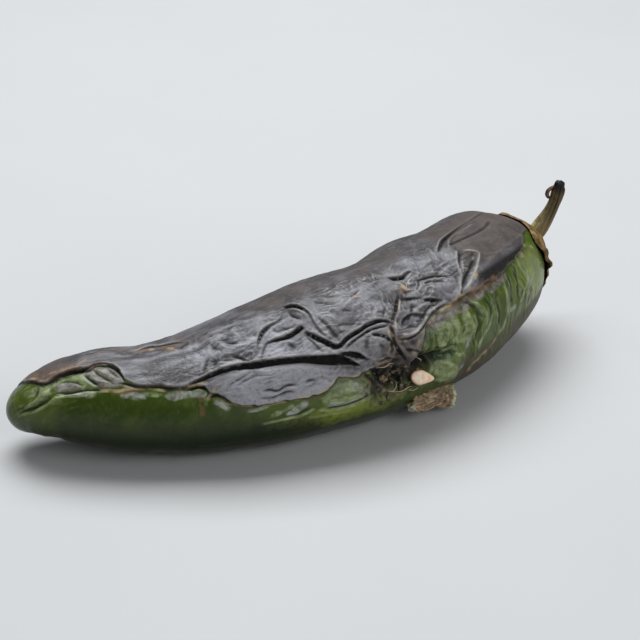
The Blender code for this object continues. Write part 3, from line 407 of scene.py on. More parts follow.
# Rounded swellings (above zero) and hollows (below zero): s, theta, height,
# half length along s, half width round the pod
MOUNDS = {
    "burst": (53, 91, -2.2, 3.3, 2.8),
    "burst_mouth": (57.6, 87, -2.4, 1.9, 1.5),
    "burst_hole": (50.7, 82, -1, 1, 1.3),
    "green_bulge": (61.9, 101, 1.2, 2, 3.2),
    "cheek": (66, 68, 0.5, 7, 5),
    "flank_swell": (47, 100, 0.5, 5, 3.4),
    "lens": (46.4, 87.5, 0.5, 2.6, 1.4),
    "arch_swell": (30.2, 69, 0.35, 1, 1.6),
    "bulge_hollow": (60.2, 85.5, -0.9, 1.7, 1),
    "bulge_top": (63.4, 68, 0.5, 2.6, 2.2),
    "leaf": (60.8, 101, 0.4, 1.4, 1.4),
    "facet_hollow": (41, 64, -0.5, 6, 2.6),
    "round_facet": (51, 59, 0.5, 1.8, 2.2),
    "crown_swell": (50, 18, 0.4, 8, 5),
    "top_shoulder": (83, -12, 0.5, 5, 6),
    "back_waist": (59.5, -45, -1.6, 8, 7),
    "back_slope": (76, -45, -1.3, 7, 7),
    "panel": (40.5, 39, -0.35, 2.6, 1.5),
    "tent": (43.8, 18, 0.35, 1.3, 2.6),
    "blister_a": (32, 5, 0.25, 1.5, 1.6),
    "blister_b": (35.2, 6, 0.2, 1.7, 1.8),
    "blister_c": (31.5, 28, 0.2, 1.4, 1.6),
    "blister_d": (38.5, 8, 0.3, 1.6, 1.6),
    "blister_e": (34.6, 20, 0.2, 1.6, 1.8),
    "membrane": (14.6, 22, 0.15, 1.8, 1.4),
    "char_lump_a": (54.4, 80, 0.9, 1.4, 1),
    "char_lump_b": (53.4, 88, 1, 1.2, 0.9),
    "char_lump_c": (55.4, 75, 0.6, 1.3, 1.2),
    "char_lump_d": (51.8, 88, 0.5, 0.8, 0.9),
    "char_lump_e": (54.6, 98, 0.8, 1.3, 0.8),
    "seed_rest": (57.2, 101, 0.5, 1.6, 1.2),
}
# Windows on the skin with soft borders: s from, to and softness, then the same of theta
WINDOWS = {
    "middle": (30, 66, 8, 4, 80, 18),
    "sheet": (31, 45, 3, 49, 84, 7),
    "crown": (44, 60, 6, 4, 46, 9),
    "shoulder": (71, 92, 5, -20, 40, 12),
    "chevron": (60, 75, 5, 12, 50, 14),
    "cheek": (54.5, 66.5, 3, 24, 57, 7),
    "blisters": (27, 38, 4, -4, 42, 12),
    "flank": (61, 90, 6, 48, 112, 14),
    "dull_side": (70, 86, 3, 40, 56, 5),
    # a band where the char is made darker, along its lower edge by the shoulder
    "dark_band": (70, 86, 3, 43, 56, 5),
    "far_end": (63, 92, 5, 97, 150, 9),
    "tip_top": (2, 9, 3, -30, 30, 8),
    "tip_streaks": (1.5, 11, 3, 16, 66, 10),
    "tip_char": (15, 30, 5, 4, 46, 12),
    "silver": (13, 38, 5, -12, 46, 12),
    "back": (40, 90, 10, -90, 12, 14),
    "left": (28, 38, 4, 0, 42, 10),
    "fresh": (79, 93, 6, 50, 96, 14),
}

# Crumples: how wide their facets are in mm, the seed of their folds, and the folds' bend
CRUMPLES = {
    "big": (6.5, 301, 0.55),
    "small": (2.4, 401, 0.55),
    "tiny": (1, 501, 0.55),
    "blister": (3.2, 361, 0.2),
    "blister_fine": (1.3, 371, 0.2),
    "cheek": (4.2, 321, 0.2),
    "cheek_fine": (1.8, 331, 0.25),
    "tongue": (1.9, 341, 0.3),
    "tongue_fine": (0.9, 351, 0.3),
    "film": (1.6, 811, 0.55),
    "tip": (2.2, 721, 0.3),
}

# Where the char is thin and brown: strength, s, theta, half length, half width
BROWN_PATCHES = (
    (0.8, 26.5, -10, 2.4, 1.6),
    (0.6, 44.5, -12, 7, 2.6),
    (0.5, 60, -12, 9, 2.2),
    (0.5, 7, 4, 2.6, 2.4),
)

# ================================================================ mesh fineness
# The whole pod is one closed piece. Three finer pieces lie on it where the camera looks,
# and SINK mm of it give way under them.
POD_RINGS = 330
POD_COLUMNS = 200
POD_CELL = 0.3
RING_DENSITY = ((0, 1.4), (22, 1.2), (30, 0.7), (70, 0.7), (78, 1.6), (95.3, 1.4))
COLUMN_DENSITY = ((-180, 0.7), (-60, 0.8), (-20, 1.4), (118, 1.4), (140, 0.9), (180, 0.7))
# Each patch has its range of s, its range of theta, and its cells' size in mm
PATCHES = {
    "tip_skin": ((2.5, 27), (-34, 88), 0.1),
    "middle_skin": ((26.5, 52), (-30, 118), 0.1),
    "shoulder_skin": ((51.5, 87.5), (-34, 118), 0.115),
}
# Neighbouring patches overlap round these s
PATCH_JOINTS = (26.75, 51.75)
JOINT_REACH = 1.5
SINK = 0.12
SINK_EDGE = 0.7
RIM_DIP = 0.05
RIM_EDGE = 0.5

# The map on which the folds are worked out: its step in mm and the rounds of easing at
# each step, the reach of theta, and how far a fold or a shift pulls its surroundings
MAP_STEPS = ((0.64, 120), (0.32, 80), (0.16, 60), (0.08, 50))
MAP_THETA = (-110, 140)
MAP_REACH = 12
OVER_RELAX = 1.7
FOLD_REACH = 1.6
SHIFT_REACH = 0.8
RELIEF_BLUR = 0.08
SHIFT_BLUR = 0.12
GAP_LINE = 0.055
LIGHT_LINE = 0.07
TONE_LINE = 0.08

# How a tuck is marked, in mm off its gap's edges: its lip, the foot of the lip's slope, the
# far bank and that bank's foot, and the two painted highlight lines
LIP_ASIDE = 0.1
LIP_FOOT_ASIDE = 0.6
BANK_ASIDE = 0.18
BANK_FOOT_ASIDE = 0.9
LIP_LIGHT_ASIDE = 0.2
BANK_LIGHT_ASIDE = 0.28
# A gap has its full depth from the first width on, and below the second it is narrowed
FULL_GAP = 0.34
NARROW_GAP = 0.62
# A crease's raised sides, its painted shade line and its painted highlight line, in mm off its middle
CREASE_SIDE = 0.42
CREASE_DARK = 0.06
CREASE_LIGHT = 0.32


# ================================================================ plain mathematics
def smooth(x):
    """0 below 0, 1 above 1, and an even S-curve between."""
    x = np.clip(x, 0.0, 1.0)
    return x * x * (3.0 - 2.0 * x)


def band(x, low, high, soft):
    """1 between low and high, and 0 outside them."""
    return smooth((x - low) / soft + 0.5) * smooth((high - x) / soft + 0.5)


def curve_through(points, x):
    """A cubic through the points that never overshoots them."""
    xs, ys = np.array(points, float).T
    step = np.diff(xs)
    rise = np.diff(ys) / step
    slope = np.zeros_like(ys)
    slope[0] = rise[0]
    slope[-1] = rise[-1]
    for i in range(1, len(ys) - 1):
        if rise[i - 1] * rise[i] > 0.0:
            before = 2.0 * step[i] + step[i - 1]
            after = step[i] + 2.0 * step[i - 1]
            slope[i] = (before + after) / (before / rise[i - 1] + after / rise[i])
    i = np.clip(np.searchsorted(xs, x) - 1, 0, len(step) - 1)
    t = (x - xs[i]) / step[i]
    return (
        ys[i] * (2 * t**3 - 3 * t**2 + 1)
        + slope[i] * step[i] * (t**3 - 2 * t**2 + t)
        + ys[i + 1] * (3 * t**2 - 2 * t**3)
        + slope[i + 1] * step[i] * (t**3 - t**2)
    )


def unit(v):
    return v / np.linalg.norm(v, axis=-1, keepdims=True)


def beside(along):
    """The level direction on the right of a path, and the one square to both."""
    level = np.zeros_like(along[..., 0])
    side = unit(np.stack([along[..., 1], -along[..., 0], level], axis=-1))
    return side, np.cross(side, along)


def spread(values, weights, steps):
    """Values at equal shares of their running weight."""
    running = np.concatenate([[0.0], np.cumsum((weights[1:] + weights[:-1]) / 2.0)])
    return np.interp(np.asarray(steps) * running[-1], running, values)


def cell_hash(ix, iy, iz, seed):
    """An even number from 0 to 1 for each lattice point."""
    h = (ix * 374761393 + iy * 668265263 + iz * 1442695041 + seed * 974634777) & 0xFFFFFFFF
    h = ((h ^ (h >> 13)) * 1274126177) & 0xFFFFFFFF
    h = ((h ^ (h >> 16)) * 2246822519) & 0xFFFFFFFF
    return ((h ^ (h >> 15)) & 0xFFFFFF) / float(0xFFFFFF)


def noise(p, size, seed=0):
    """Smooth gradient noise from about -1 to 1, with features of the given size."""
    q = np.asarray(p, float) / size
    base = np.floor(q).astype(np.int64)
    f = q - base
    w = f * f * f * (f * (f * 6.0 - 15.0) + 10.0)
    total = np.zeros(q.shape[:-1])
    for corner in np.ndindex(2, 2, 2):
        ix, iy, iz = (base[..., k] + corner[k] for k in range(3))
        turn = cell_hash(ix, iy, iz, seed) * 2.0 * np.pi
        rise = cell_hash(ix, iy, iz, seed + 101) * 2.0 - 1.0
        flat = np.sqrt(1.0 - rise * rise)
        dx, dy, dz = (f[..., k] - corner[k] for k in range(3))
        dot = flat * np.cos(turn) * dx + flat * np.sin(turn) * dy + rise * dz
        wx, wy, wz = (w[..., k] if corner[k] else 1.0 - w[..., k] for k in range(3))
        total += dot * (wx * wy * wz)
    return total * 1.7


def ridged(p, size, seed):
    """0 to 1, with sharp crests where the noise changes sign."""
    return np.clip(1.0 - np.abs(noise(p, size, seed)) * 2.2, 0.0, 1.0)


def wander(p, reach_s, reach_v, size, seed):
    """A drift over the flat map of the skin, by noise."""
    drift = [reach_s * noise(p, size, seed), reach_v * noise(p, size, seed + 1), np.zeros(len(p))]
    return np.stack(drift, axis=-1)


def creased(p, size, seed, directions=4, bend=0.55):
    """Flat facets between straight folds, like film that was crumpled and let go."""
    total = np.zeros(p.shape[:-1])
    rng = np.random.default_rng(seed)
    for k in range(directions):
        turn = np.pi * (k + rng.uniform(0.1, 0.9)) / directions
        long = size * rng.uniform(0.7, 1.5)
        along = p[..., 0] * np.cos(turn) + p[..., 1] * np.sin(turn)
        bent = along / long + bend * noise(p, size * 1.7, seed + 10 * k) + rng.uniform(0.0, 1.0)
        wave = 2.0 * np.abs(2.0 * (bent - np.floor(bent)) - 1.0) - 1.0
        total += wave * smooth(0.5 + 1.6 * noise(p, size * 1.3, seed + 10 * k + 5))
    return total / directions


def fold_lines(p, size, seed, width):
    """1 along the lines where the noise is zero, falling off over width mm beside them."""
    step = 0.05
    here = noise(p, size, seed)
    slope_s = (noise(p + [step, 0.0, 0.0], size, seed) - here) / step
    slope_v = (noise(p + [0.0, step, 0.0], size, seed) - here) / step
    gap = np.abs(here) / np.maximum(np.hypot(slope_s, slope_v), 0.3 / size)
    return np.exp(-gap / width)


# ================================================================ the pod's surface
TABLE_S = np.linspace(0.0, POD_LENGTH, 2001)


def heading(s):
    along = (s - (BEND_MIDDLE - BEND_SPREAD / 2.0)) / BEND_SPREAD
    return np.radians(TIP_HEADING + (STEM_HEADING - TIP_HEADING) * smooth(along))


def walk_the_axis(way):
    """The axis's steps summed up in one direction, with the middle of its ends at zero."""
    ds = TABLE_S[1] - TABLE_S[0]
    run = np.concatenate([[0.0], np.cumsum(way(heading(TABLE_S[:-1])) * ds)])
    return run - run[-1] / 2.0


TABLE_X = walk_the_axis(np.cos)
TABLE_Y = walk_the_axis(np.sin)


def axis_point(s):
    x = np.interp(s, TABLE_S, TABLE_X)
    y = np.interp(s, TABLE_S, TABLE_Y)
    return np.stack([x, y, curve_through(AXIS_HEIGHTS, s)], axis=-1)


def half_size(s, column):
    """Half width (column 1) or half height (column 2), rounded off at both ends."""
    squares = [(row[0], row[column] ** 2) for row in STATIONS]
    return np.sqrt(np.maximum(curve_through(squares, s), 0.0))


def girth_radius(s):
    return np.maximum((half_size(s, 1) + half_size(s, 2)) / 2.0, 0.5)


TABLE_GROWTH = np.hypot(np.gradient(TABLE_S), np.gradient(girth_radius(TABLE_S)))


def pod_point(s, theta, lift=0.0):
    """A point over the pod, in the part's own frame: lift is in mm off the smooth skin."""
    e = 0.05
    low = np.maximum(s - e, 0.0)
    high = np.minimum(s + e, POD_LENGTH)
    along = unit(axis_point(high) - axis_point(low))
    side, up = beside(along)
    up = up * np.sign(up[..., 2:3])
    c = np.cos(np.radians(theta))
    d = np.sin(np.radians(theta))
    n = SECTION_POWER
    k = (np.abs(c) ** n + np.abs(d) ** n) ** (-1.0 / n)
    w = half_size(s, 1)
    h = half_size(s, 2)
    on = axis_point(s) + side * (w * k * d)[..., None] + up * (h * k * c)[..., None]
    growth = (half_size(high, 1) - half_size(low, 1)) / (high - low)
    out = (
        side * (np.sign(d) * np.abs(d) ** (n - 1.0) / np.maximum(w, 0.3))[..., None]
        + up * (np.sign(c) * np.abs(c) ** (n - 1.0) / np.maximum(h, 0.3))[..., None]
    )
    out = unit(unit(out) - along * growth[..., None])
    return on + out * np.asarray(lift)[..., None] + ORIGIN_SHIFT


STEM_END = pod_point(np.array(POD_LENGTH), np.array(0.0))


def pod_place(s, theta, lift=0.0):
    """One point over the pod, and its directions: along the pod, round it, and out."""
    s, theta, lift = (np.array(float(value)) for value in (s, theta, lift))
    here = pod_point(s, theta, lift)
    out = unit(pod_point(s, theta, lift + 0.5) - here)
    along = pod_point(s + 0.5, theta, lift) - here
    along = unit(along - out * np.dot(along, out))
    return here, along, np.cross(along, out), out


def mound_height(s, theta):
    """Height of the rounded swellings and hollows."""
    reach = girth_radius(s)
    height = np.zeros_like(s)
    for at_s, at_theta, rise, half_length, half_width in MOUNDS.values():
        a = (s - at_s) / half_length
        b = np.radians(theta - at_theta) * reach / half_width
        height = height + rise * np.exp(-(a * a) - (b * b))
    return height


# ================================================================ routes on the skin
def soften_route(route, step=0.05):
    """A smooth curve through the route's points, as short straight steps."""
    route = np.array(route, float)
    ends = np.concatenate([[2 * route[0] - route[1]], route, [2 * route[-1] - route[-2]]])
    points = []
    for a, b, c, d in zip(ends, ends[1:], ends[2:], ends[3:]):
        long = np.hypot(c[0] - b[0], np.radians(c[1] - b[1]) * girth_radius(b[0]))
        parts = max(2, int(long / step))
        for t in np.arange(parts) / parts:
            bend = (2 * a - 5 * b + 4 * c - d) * t**2 + (3 * b - a - 3 * c + d) * t**3
            points.append(0.5 * (2 * b + (c - a) * t + bend))
    points.append(route[-1])
    return np.array(points)


class Route:
    """A smooth route over the skin, with its direction across and its ends' fade."""

    def __init__(self, points, fade=1.2):
        line = soften_route(points)
        self.s = line[:, 0]
        self.theta = line[:, 1]
        self.width = line[:, 2] if line.shape[1] > 2 else np.zeros(len(line))
        self.reach = girth_radius(self.s)
        ds = np.gradient(self.s)
        dv = np.gradient(self.theta) * np.radians(1.0) * self.reach
        long = np.maximum(np.hypot(ds, dv), 1e-6)
        self.across_s = -dv / long
        self.across_v = ds / long
        run = np.cumsum(long)
        self.fade = smooth(run / fade) * smooth((run[-1] - run) / fade)

    def aside(self, distance):
        """s and theta of the line this far to the side of greater theta."""
        s = self.s + self.across_s * distance
        theta = self.theta + np.degrees(self.across_v * distance / self.reach)
        return s, theta


def soften(field, step, size):
    """A grid of values with this step, softened over size mm; its edges mirror it."""
    for axis in (0, 1):
        count = field.shape[axis]
        wave = np.fft.rfftfreq(2 * count, step)
        keep = np.exp(-2.0 * (np.pi * wave * size) ** 2)
        mirrored = np.concatenate([field, np.flip(field, axis)], axis=axis)
        turned = np.fft.rfft(mirrored, axis=axis)
        turned *= keep[:, None] if axis == 0 else keep[None, :]
        field = np.take(np.fft.irfft(turned, n=2 * count, axis=axis), np.arange(count), axis=axis)
    return field


class SkinMap:
    """Fields over the skin, on an even grid of s and of theta times MAP_REACH."""

    def __init__(self, step):
        self.step = step
        self.low_u = np.radians(MAP_THETA[0]) * MAP_REACH
        rows = int(POD_LENGTH / step) + 2
        columns = int((np.radians(MAP_THETA[1]) * MAP_REACH - self.low_u) / step) + 2
        self.shape = (rows, columns)
        self.s = np.arange(rows) * step
        self.theta = np.degrees((self.low_u + np.arange(columns) * step) / MAP_REACH)
        self.pull = (MAP_REACH / girth_radius(self.s)) ** 2

    def corners(self, s, theta):
        """The four grid points round each place, each with its share."""
        x = np.clip(s / self.step, 0.0, self.shape[0] - 1.001)
        y = (np.radians(theta) * MAP_REACH - self.low_u) / self.step
        y = np.clip(y, 0.0, self.shape[1] - 1.001)
        i = x.astype(int)
        j = y.astype(int)
        x = x - i
        y = y - j
        return (
            (i, j, (1 - x) * (1 - y)),
            (i + 1, j, x * (1 - y)),
            (i, j + 1, (1 - x) * y),
            (i + 1, j + 1, x * y),
        )

    def splat(self, s, theta, values):
        """Each value shared out over the four grid points round it."""
        field = np.zeros(self.shape)
        for i, j, share in self.corners(s, theta):
            np.add.at(field, (i, j), values * share)
        return field

    def read(self, field, s, theta):
        return sum(field[i, j] * share for i, j, share in self.corners(s, theta))

    def blur(self, field, size):
        return soften(field, self.step, size)

    def stretch(self, s, theta, values, weights, reach, rounds, start=None):
        """A taut sheet through the given values, which goes back to 0 over reach mm."""
        weight = self.splat(s, theta, weights)
        wanted = self.splat(s, theta, weights * values)
        field = np.zeros(self.shape) if start is None else start.copy()
        pull = self.pull[1:-1, None]
        total = 2.0 + 2.0 * pull + (self.step / reach) ** 2 + weight[1:-1, 1:-1]
        even = (np.add.outer(np.arange(self.shape[0]), np.arange(self.shape[1])) % 2)[1:-1, 1:-1]
        for turn in range(2 * rounds):
            ahead = (
                field[2:, 1:-1] + field[:-2, 1:-1]
                + pull * (field[1:-1, 2:] + field[1:-1, :-2])
                + wanted[1:-1, 1:-1]
            ) / total
            inner = field[1:-1, 1:-1]
            inner += np.where(even == turn % 2, OVER_RELAX * (ahead - inner), 0.0)
        return field


FINEST = SkinMap(MAP_STEPS[-1][0])


def taut_sheet(marks, reach, blur):
    """The sheet through (s, theta, value, weight) marks, from a coarse map to the finest."""
    s, theta, values, weights = np.concatenate(marks, axis=1)
    field = None
    coarse = None
    for step, rounds in MAP_STEPS:
        level = SkinMap(step)
        if field is not None:
            field = coarse.read(field, *np.meshgrid(level.s, level.theta, indexing="ij"))
        field = level.stretch(s, theta, values, weights, reach, rounds, field)
        coarse = level
    return FINEST.blur(field, blur)


def drawn(marks, width):
    """A map of lines of this width: about 1 along a line of strength 1."""
    s, theta, values, _ = np.concatenate(marks, axis=1)
    touched = FINEST.splat(s, theta, np.ones_like(values))
    peak = FINEST.blur(FINEST.splat(s, theta, values), width)
    count = FINEST.blur(np.minimum(touched, 1.0), width)
    along = FINEST.blur(touched, width)
    line_peak = FINEST.step / (width * np.sqrt(2.0 * np.pi))
    return peak / np.maximum(along, 0.02) * smooth(1.5 * count / line_peak - 0.25)


# ================================================================ folds of the skin
class FoldMarks:
    """What the named folds ask of the skin: lists of (s, theta, value, weight) marks."""

    KINDS = ("height", "shift_s", "shift_v", "gap", "light", "cream", "rust", "pale", "white_and_glint")

    def __init__(self):
        self.marks = {kind: [] for kind in self.KINDS}
        for row in TUCKS.values():
            self.add_tuck(*row)
        for row in CREASES.values():
            self.add_crease(*row)
        for row in CRESTS.values():
            self.add_crest(*row)
        for row in LINES.values():
            self.add_line(*row)

    def mark(self, kind, where, value, weight=4.0):
        value = np.broadcast_to(value, where[0].shape)
        self.marks[kind].append(np.stack([*where, value, np.full_like(value, weight)]))

    def shift(self, where, along_s, along_v):
        self.mark("shift_s", where, along_s)
        self.mark("shift_v", where, along_v)

    def add_tuck(self, lip, depth, over, shine, points):
        route = Route(points)
        width = np.where(route.width < NARROW_GAP, 0.7 * route.width, route.width)
        half = width / 2.0
        full = smooth(width / FULL_GAP)
        edge = route.aside(-half - LIP_ASIDE)
        self.mark("height", edge, lip * full)
        push = np.minimum(over, 0.28 * width) * full
        self.shift(edge, push * route.across_s, push * route.across_v)
        self.mark("height", route.aside(-half - LIP_FOOT_ASIDE), 0.35 * lip * full, 1.0)
        sunk = depth * np.clip(0.35 + 0.65 * width, 0.35, 1.0)
        for share in (-0.5, 0.0, 0.5):
            floor = route.aside(share * width)
            self.mark("height", floor, -sunk * full)
            self.shift(floor, 0.0, 0.0)
        bank = route.aside(half + BANK_ASIDE)
        self.mark("height", bank, -0.4 * sunk * full)
        self.mark("height", route.aside(half + BANK_FOOT_ASIDE), 0.0, 0.6)
        self.shift(bank, 0.0, 0.0)
        # painted shade: the gap is drawn near black
        for share in np.linspace(-1.0, 1.0, max(3, round(float(width.max()) / 0.09) + 1)):
            self.mark("gap", route.aside(share * half), np.sqrt(full))
        # painted highlights along the lip and along the far bank
        self.mark("light", route.aside(-half - LIP_LIGHT_ASIDE), shine * full)
        self.mark("light", route.aside(half + BANK_LIGHT_ASIDE), 0.8 * shine * full)

    def add_crease(self, depth, dark, points):
        route = Route(points)
        self.mark("height", route.aside(0.0), -depth * route.fade)
        for side in (-CREASE_SIDE, CREASE_SIDE):
            self.mark("height", route.aside(side), 0.15 * depth * route.fade, 0.5)
        # painted shade along the valley, and a painted highlight beside it
        for side in (-CREASE_DARK, 0.0, CREASE_DARK):
            self.mark("gap", route.aside(side), dark * route.fade)
        self.mark("light", route.aside(-CREASE_LIGHT), 0.5 * dark * route.fade)

    def add_crest(self, rise, shine, points):
        route = Route(points)
        self.mark("height", route.aside(0.0), rise * route.fade)
        # a painted highlight along the ridge
        self.mark("light", route.aside(0.0), shine * route.fade)

    def add_line(self, tone, strength, width, points):
        route = Route(points, 0.6)
        for share in np.linspace(-0.5, 0.5, max(2, round(width / 0.12)) + 1):
            self.mark(tone, route.aside(share * width), strength * route.fade)

    def maps(self):
        """The folds' height and shift over the skin, and the lines that they draw: painted shade,
        painted highlights and tones.
        """
        marks = self.marks
        maps = {
            "height": taut_sheet(marks["height"], FOLD_REACH, RELIEF_BLUR),
            "shift_s": taut_sheet(marks["shift_s"], SHIFT_REACH, SHIFT_BLUR),
            "shift_v": taut_sheet(marks["shift_v"], SHIFT_REACH, SHIFT_BLUR),
            "gap": drawn(marks["gap"], GAP_LINE),
            "light": drawn(marks["light"], LIGHT_LINE),
        }
        for tone in ("cream", "rust", "pale", "white_and_glint"):
            maps[tone] = drawn(marks[tone], TONE_LINE)
        return maps


FOLD_MAPS = FoldMarks().maps()


# ================================================================ mesh helpers
def mesh_object(name, points, faces, masks=None):
    """A mesh from points in mm. Masks are named values from 0 to 1, one a point."""
    mesh = bpy.data.meshes.new(name)
    mesh.from_pydata([tuple(p) for p in np.asarray(points) * MM], [], faces)
    mesh.update()
    mesh.polygons.foreach_set("use_smooth", [True] * len(mesh.polygons))
    for key, values in (masks or {}).items():
        attribute = mesh.attributes.new(key, "FLOAT", "POINT")
        attribute.data.foreach_set("value", np.clip(values, 0.0, 1.0).astype(np.float32))
    obj = bpy.data.objects.new(name, mesh)
    bpy.context.scene.collection.objects.link(obj)
    return obj


def gathered(name, bodies, masks=None):
    """One object of several separate bodies, each with its points and its faces."""
    faces = []
    start = 0
    for points, body_faces in bodies:
        faces += [tuple(k + start for k in face) for face in body_faces]
        start += len(points)
    return mesh_object(name, np.concatenate([points for points, _ in bodies]), faces, masks)


def ball_faces(rings, columns):
    """Faces of a closed ball: point 0, rings of points, and a last point."""
    faces = []
    last = (rings - 1) * columns + 1
    for j in range(columns):
        k = (j + 1) % columns
        faces.append((0, 1 + k, 1 + j))
        for i in range(rings - 2):
            a = 1 + i * columns
            b = a + columns
            faces.append((a + j, a + k, b + k, b + j))
        a = 1 + (rings - 2) * columns
        faces.append((a + j, a + k, last))
    return faces


def ball_map(rings, columns):
    """Each point's ring and column, from 0 to 1, in the order of ball_faces."""
    inner = np.arange(1, rings) / rings
    ring = np.concatenate([[0.0], np.repeat(inner, columns), [1.0]])
    column = np.concatenate([[0.0], np.tile(np.arange(columns) / columns, rings - 1), [0.0]])
    return ring, column


def unit_ball(rings, columns):
    ring, column = ball_map(rings, columns)
    turn = 2.0 * np.pi * column
    across = np.sin(np.pi * ring)
    return np.stack([across * np.cos(turn), across * np.sin(turn), np.cos(np.pi * ring)], axis=-1)


def sheet_faces(rows, columns):
    """Faces of a sheet of rows times columns points."""
    faces = []
    for i in range(rows - 1):
        for j in range(columns - 1):
            a = i * columns + j
            faces.append((a, a + 1, a + columns + 1, a + columns))
    return faces


def set_out(middle, local, directions):
    """Local points set out from the middle along three directions."""
    points = middle
    for k in range(3):
        points = points + local[:, k : k + 1] * directions[k]
    return points


# ================================================================ the pod
class Skin:
    """A piece of the pod's skin: where each of its points lies, and what shows there."""

    def __init__(self, s, theta, grid, cell):
        self.s = s
        self.theta = theta
        self.grid = grid
        self.cell = cell
        self.reach = girth_radius(s)
        self.v = np.radians(theta) * self.reach
        self.place = pod_point(s, theta, np.zeros_like(s))
        self.flat = np.stack([s, self.v, np.zeros_like(s)], axis=-1)
        self.drifted = self.flat + wander(self.place, 0.9, 0.9, 3.5, 41)
        self.folds = {key: FINEST.read(field, s, theta) for key, field in FOLD_MAPS.items()}
        self.area = {name: self.window(*limits) for name, limits in WINDOWS.items()}
        self.near_edge, self.far_edge = self.char_edges()
        self.char = smooth(self.near_edge / 0.3 + 0.5) * smooth(self.far_edge / 1.6 + 0.5)
        self.bare = 1.0 - self.char
        self.panel = self.blob(40.4, 38.5, 3.6, 2.8)
        self.tongue = self.char * self.blob(54.0, 69.5, 3.6, 2.3)
        mouth = self.blob(53.0, 89.0, 4.2, 3.9) + self.blob(57.6, 87.0, 1.8, 1.8)
        self.burst = np.clip(mouth, 0.0, 1.0)
        loose = np.clip(0.2 + 0.8 * self.area["middle"] + 0.5 * self.area["chevron"], 0.0, 1.0)
        flatter = (1.0 - 0.5 * self.area["sheet"]) * (1.0 - 0.5 * self.area["shoulder"])
        self.loose = self.char * loose * flatter
        patchy = smooth(0.75 + 1.3 * noise(self.place, 5.0, 65))
        self.flank = self.bare * self.area["flank"] * patchy * (1.0 - 0.5 * band(s, 82.0, 92.0, 4.0))
        self.small = self.crumple("small")

    def window(self, low_s, high_s, soft_s, low_theta, high_theta, soft_theta):
        along = band(self.s, low_s, high_s, soft_s)
        return along * band(self.theta, low_theta, high_theta, soft_theta)

    def blob(self, at_s, at_theta, half_length, half_width, slant=0.0):
        """1 in the middle of an oval patch of skin, and 0 outside it."""
        x = self.s - at_s
        y = np.radians(self.theta - at_theta) * self.reach
        c = np.cos(np.radians(slant))
        d = np.sin(np.radians(slant))
        a = (x * c + y * d) / half_length
        b = (-x * d + y * c) / half_width
        return np.exp(-((a * a + b * b) ** 1.5))

    def film(self, tone, seed):
        """Where the films of a tone lie, with torn edges."""
        total = np.zeros_like(self.s)
        for kind, strength, *place in FILMS.values():
            if kind == tone:
                total += strength * self.blob(*place)
        p = self.place
        torn = 0.4 * noise(p, 1.6, seed) + 0.18 * noise(p, 0.7, seed + 1)
        worn = smooth(0.75 + 1.1 * noise(p, 0.9, seed + 2) + 0.5 * noise(p, 0.4, seed + 3))
        return smooth((total + torn * smooth(total * 4.0) - 0.28) / 0.42) * (0.35 + 0.65 * worn)

    def crumple(self, name):
        size, seed, bend = CRUMPLES[name]
        return creased(self.flat, size, seed, bend=bend)

    def char_edges(self):
        """How far each point lies inside the charred skin's edge, in mm, on both sides."""
        near, far = (np.interp(self.s, *np.transpose(line)) for line in (CHAR_LINE, FAR_CHAR_LINE))
        rag = 0.35 * noise(self.place, 1.8, 11) + 0.15 * noise(self.place, 0.8, 12)
        far_rag = 2.4 * noise(self.place, 7.0, 13) + 1.2 * noise(self.place, 2.5, 14)
        near_edge = np.radians(near - self.theta) * self.reach + rag
        far_edge = np.radians(self.theta - far) * self.reach + far_rag
        return near_edge, far_edge

    def cavity(self, height, size):
        """How deep each point lies below its surroundings, in mm. A ball's poles have 0."""
        rows, columns = self.grid
        poles = len(height) - rows * columns
        inner = height[1:-1] if poles else height
        field = inner.reshape(rows, columns)
        deep = (soften(field, self.cell, size) - field).ravel()
        return np.concatenate([[0.0], deep, [0.0]]) if poles else deep


def char_relief(skin):
    """Height of the loose charred skin's crumples, and where painted glints lie on its thin folds."""
    p, char, area = skin.place, skin.char, skin.area
    crown, blisters = area["crown"], area["blisters"]

    # flat facets, strongest in the middle of the side that faces -Y
    bubbled = skin.crumple("blister") + 0.5 * skin.crumple("blister_fine")
    height = char * blisters * 0.3 * bubbled
    facets = 0.62 * (1.0 - 0.6 * crown) * (1.0 - 0.6 * skin.panel) * skin.crumple("big")
    facets += 0.19 * (1.0 - 0.5 * crown) * skin.small + 0.08 * skin.crumple("tiny")
    height += skin.loose * (1.0 - 0.5 * blisters) * facets
    creased_cheek = 0.75 * skin.crumple("cheek") + 0.25 * skin.crumple("cheek_fine")
    height += char * area["cheek"] * creased_cheek

    # thin folds that run mostly along the pod
    long_way = skin.drifted * [0.34, 1.0, 1.0]
    crests = fold_lines(long_way, 1.9, 43, 0.2) * smooth(0.2 + 1.6 * noise(p, 3.0, 44))
    creases = fold_lines(long_way, 1.8, 45, 0.14) * smooth(0.2 + 1.6 * noise(p, 2.6, 46))
    creases *= 1.0 - 0.6 * crown
    height += char * (0.12 + 0.88 * skin.loose) * (0.16 * crests - 0.17 * creases)

    # a fine wrinkling over all of it, along the pod at first and across it on the crown
    fine_long = fold_lines(long_way, 0.85, 47, 0.11)
    fine_cross = fold_lines(skin.drifted * [1.0, 0.4, 1.0], 0.95, 49, 0.11)
    turned = crown * smooth((skin.s - 49.0) / 5.0)
    fine = fine_long * (1.0 - 0.8 * turned) + 0.8 * fine_cross * turned
    rough = smooth(0.55 + 1.2 * noise(p, 4.0, 48)) * (1.0 - 0.7 * area["shoulder"])
    height += char * (0.35 + 0.65 * area["middle"]) * rough * (0.10 + 0.06 * turned) * (fine - 0.4)

    # the curled char over the burst
    height += skin.tongue * (0.5 * skin.crumple("tongue") + 0.2 * skin.crumple("tongue_fine"))

    # painted glints on the crests of the fine wrinkles, none on the shoulder and the dull side
    glint = char * (0.15 + 0.75 * crown + 0.5 * area["chevron"]) * rough * smooth((fine - 0.5) / 0.3)
    return height, glint * (1.0 - area["shoulder"]) * (1.0 - area["dull_side"])


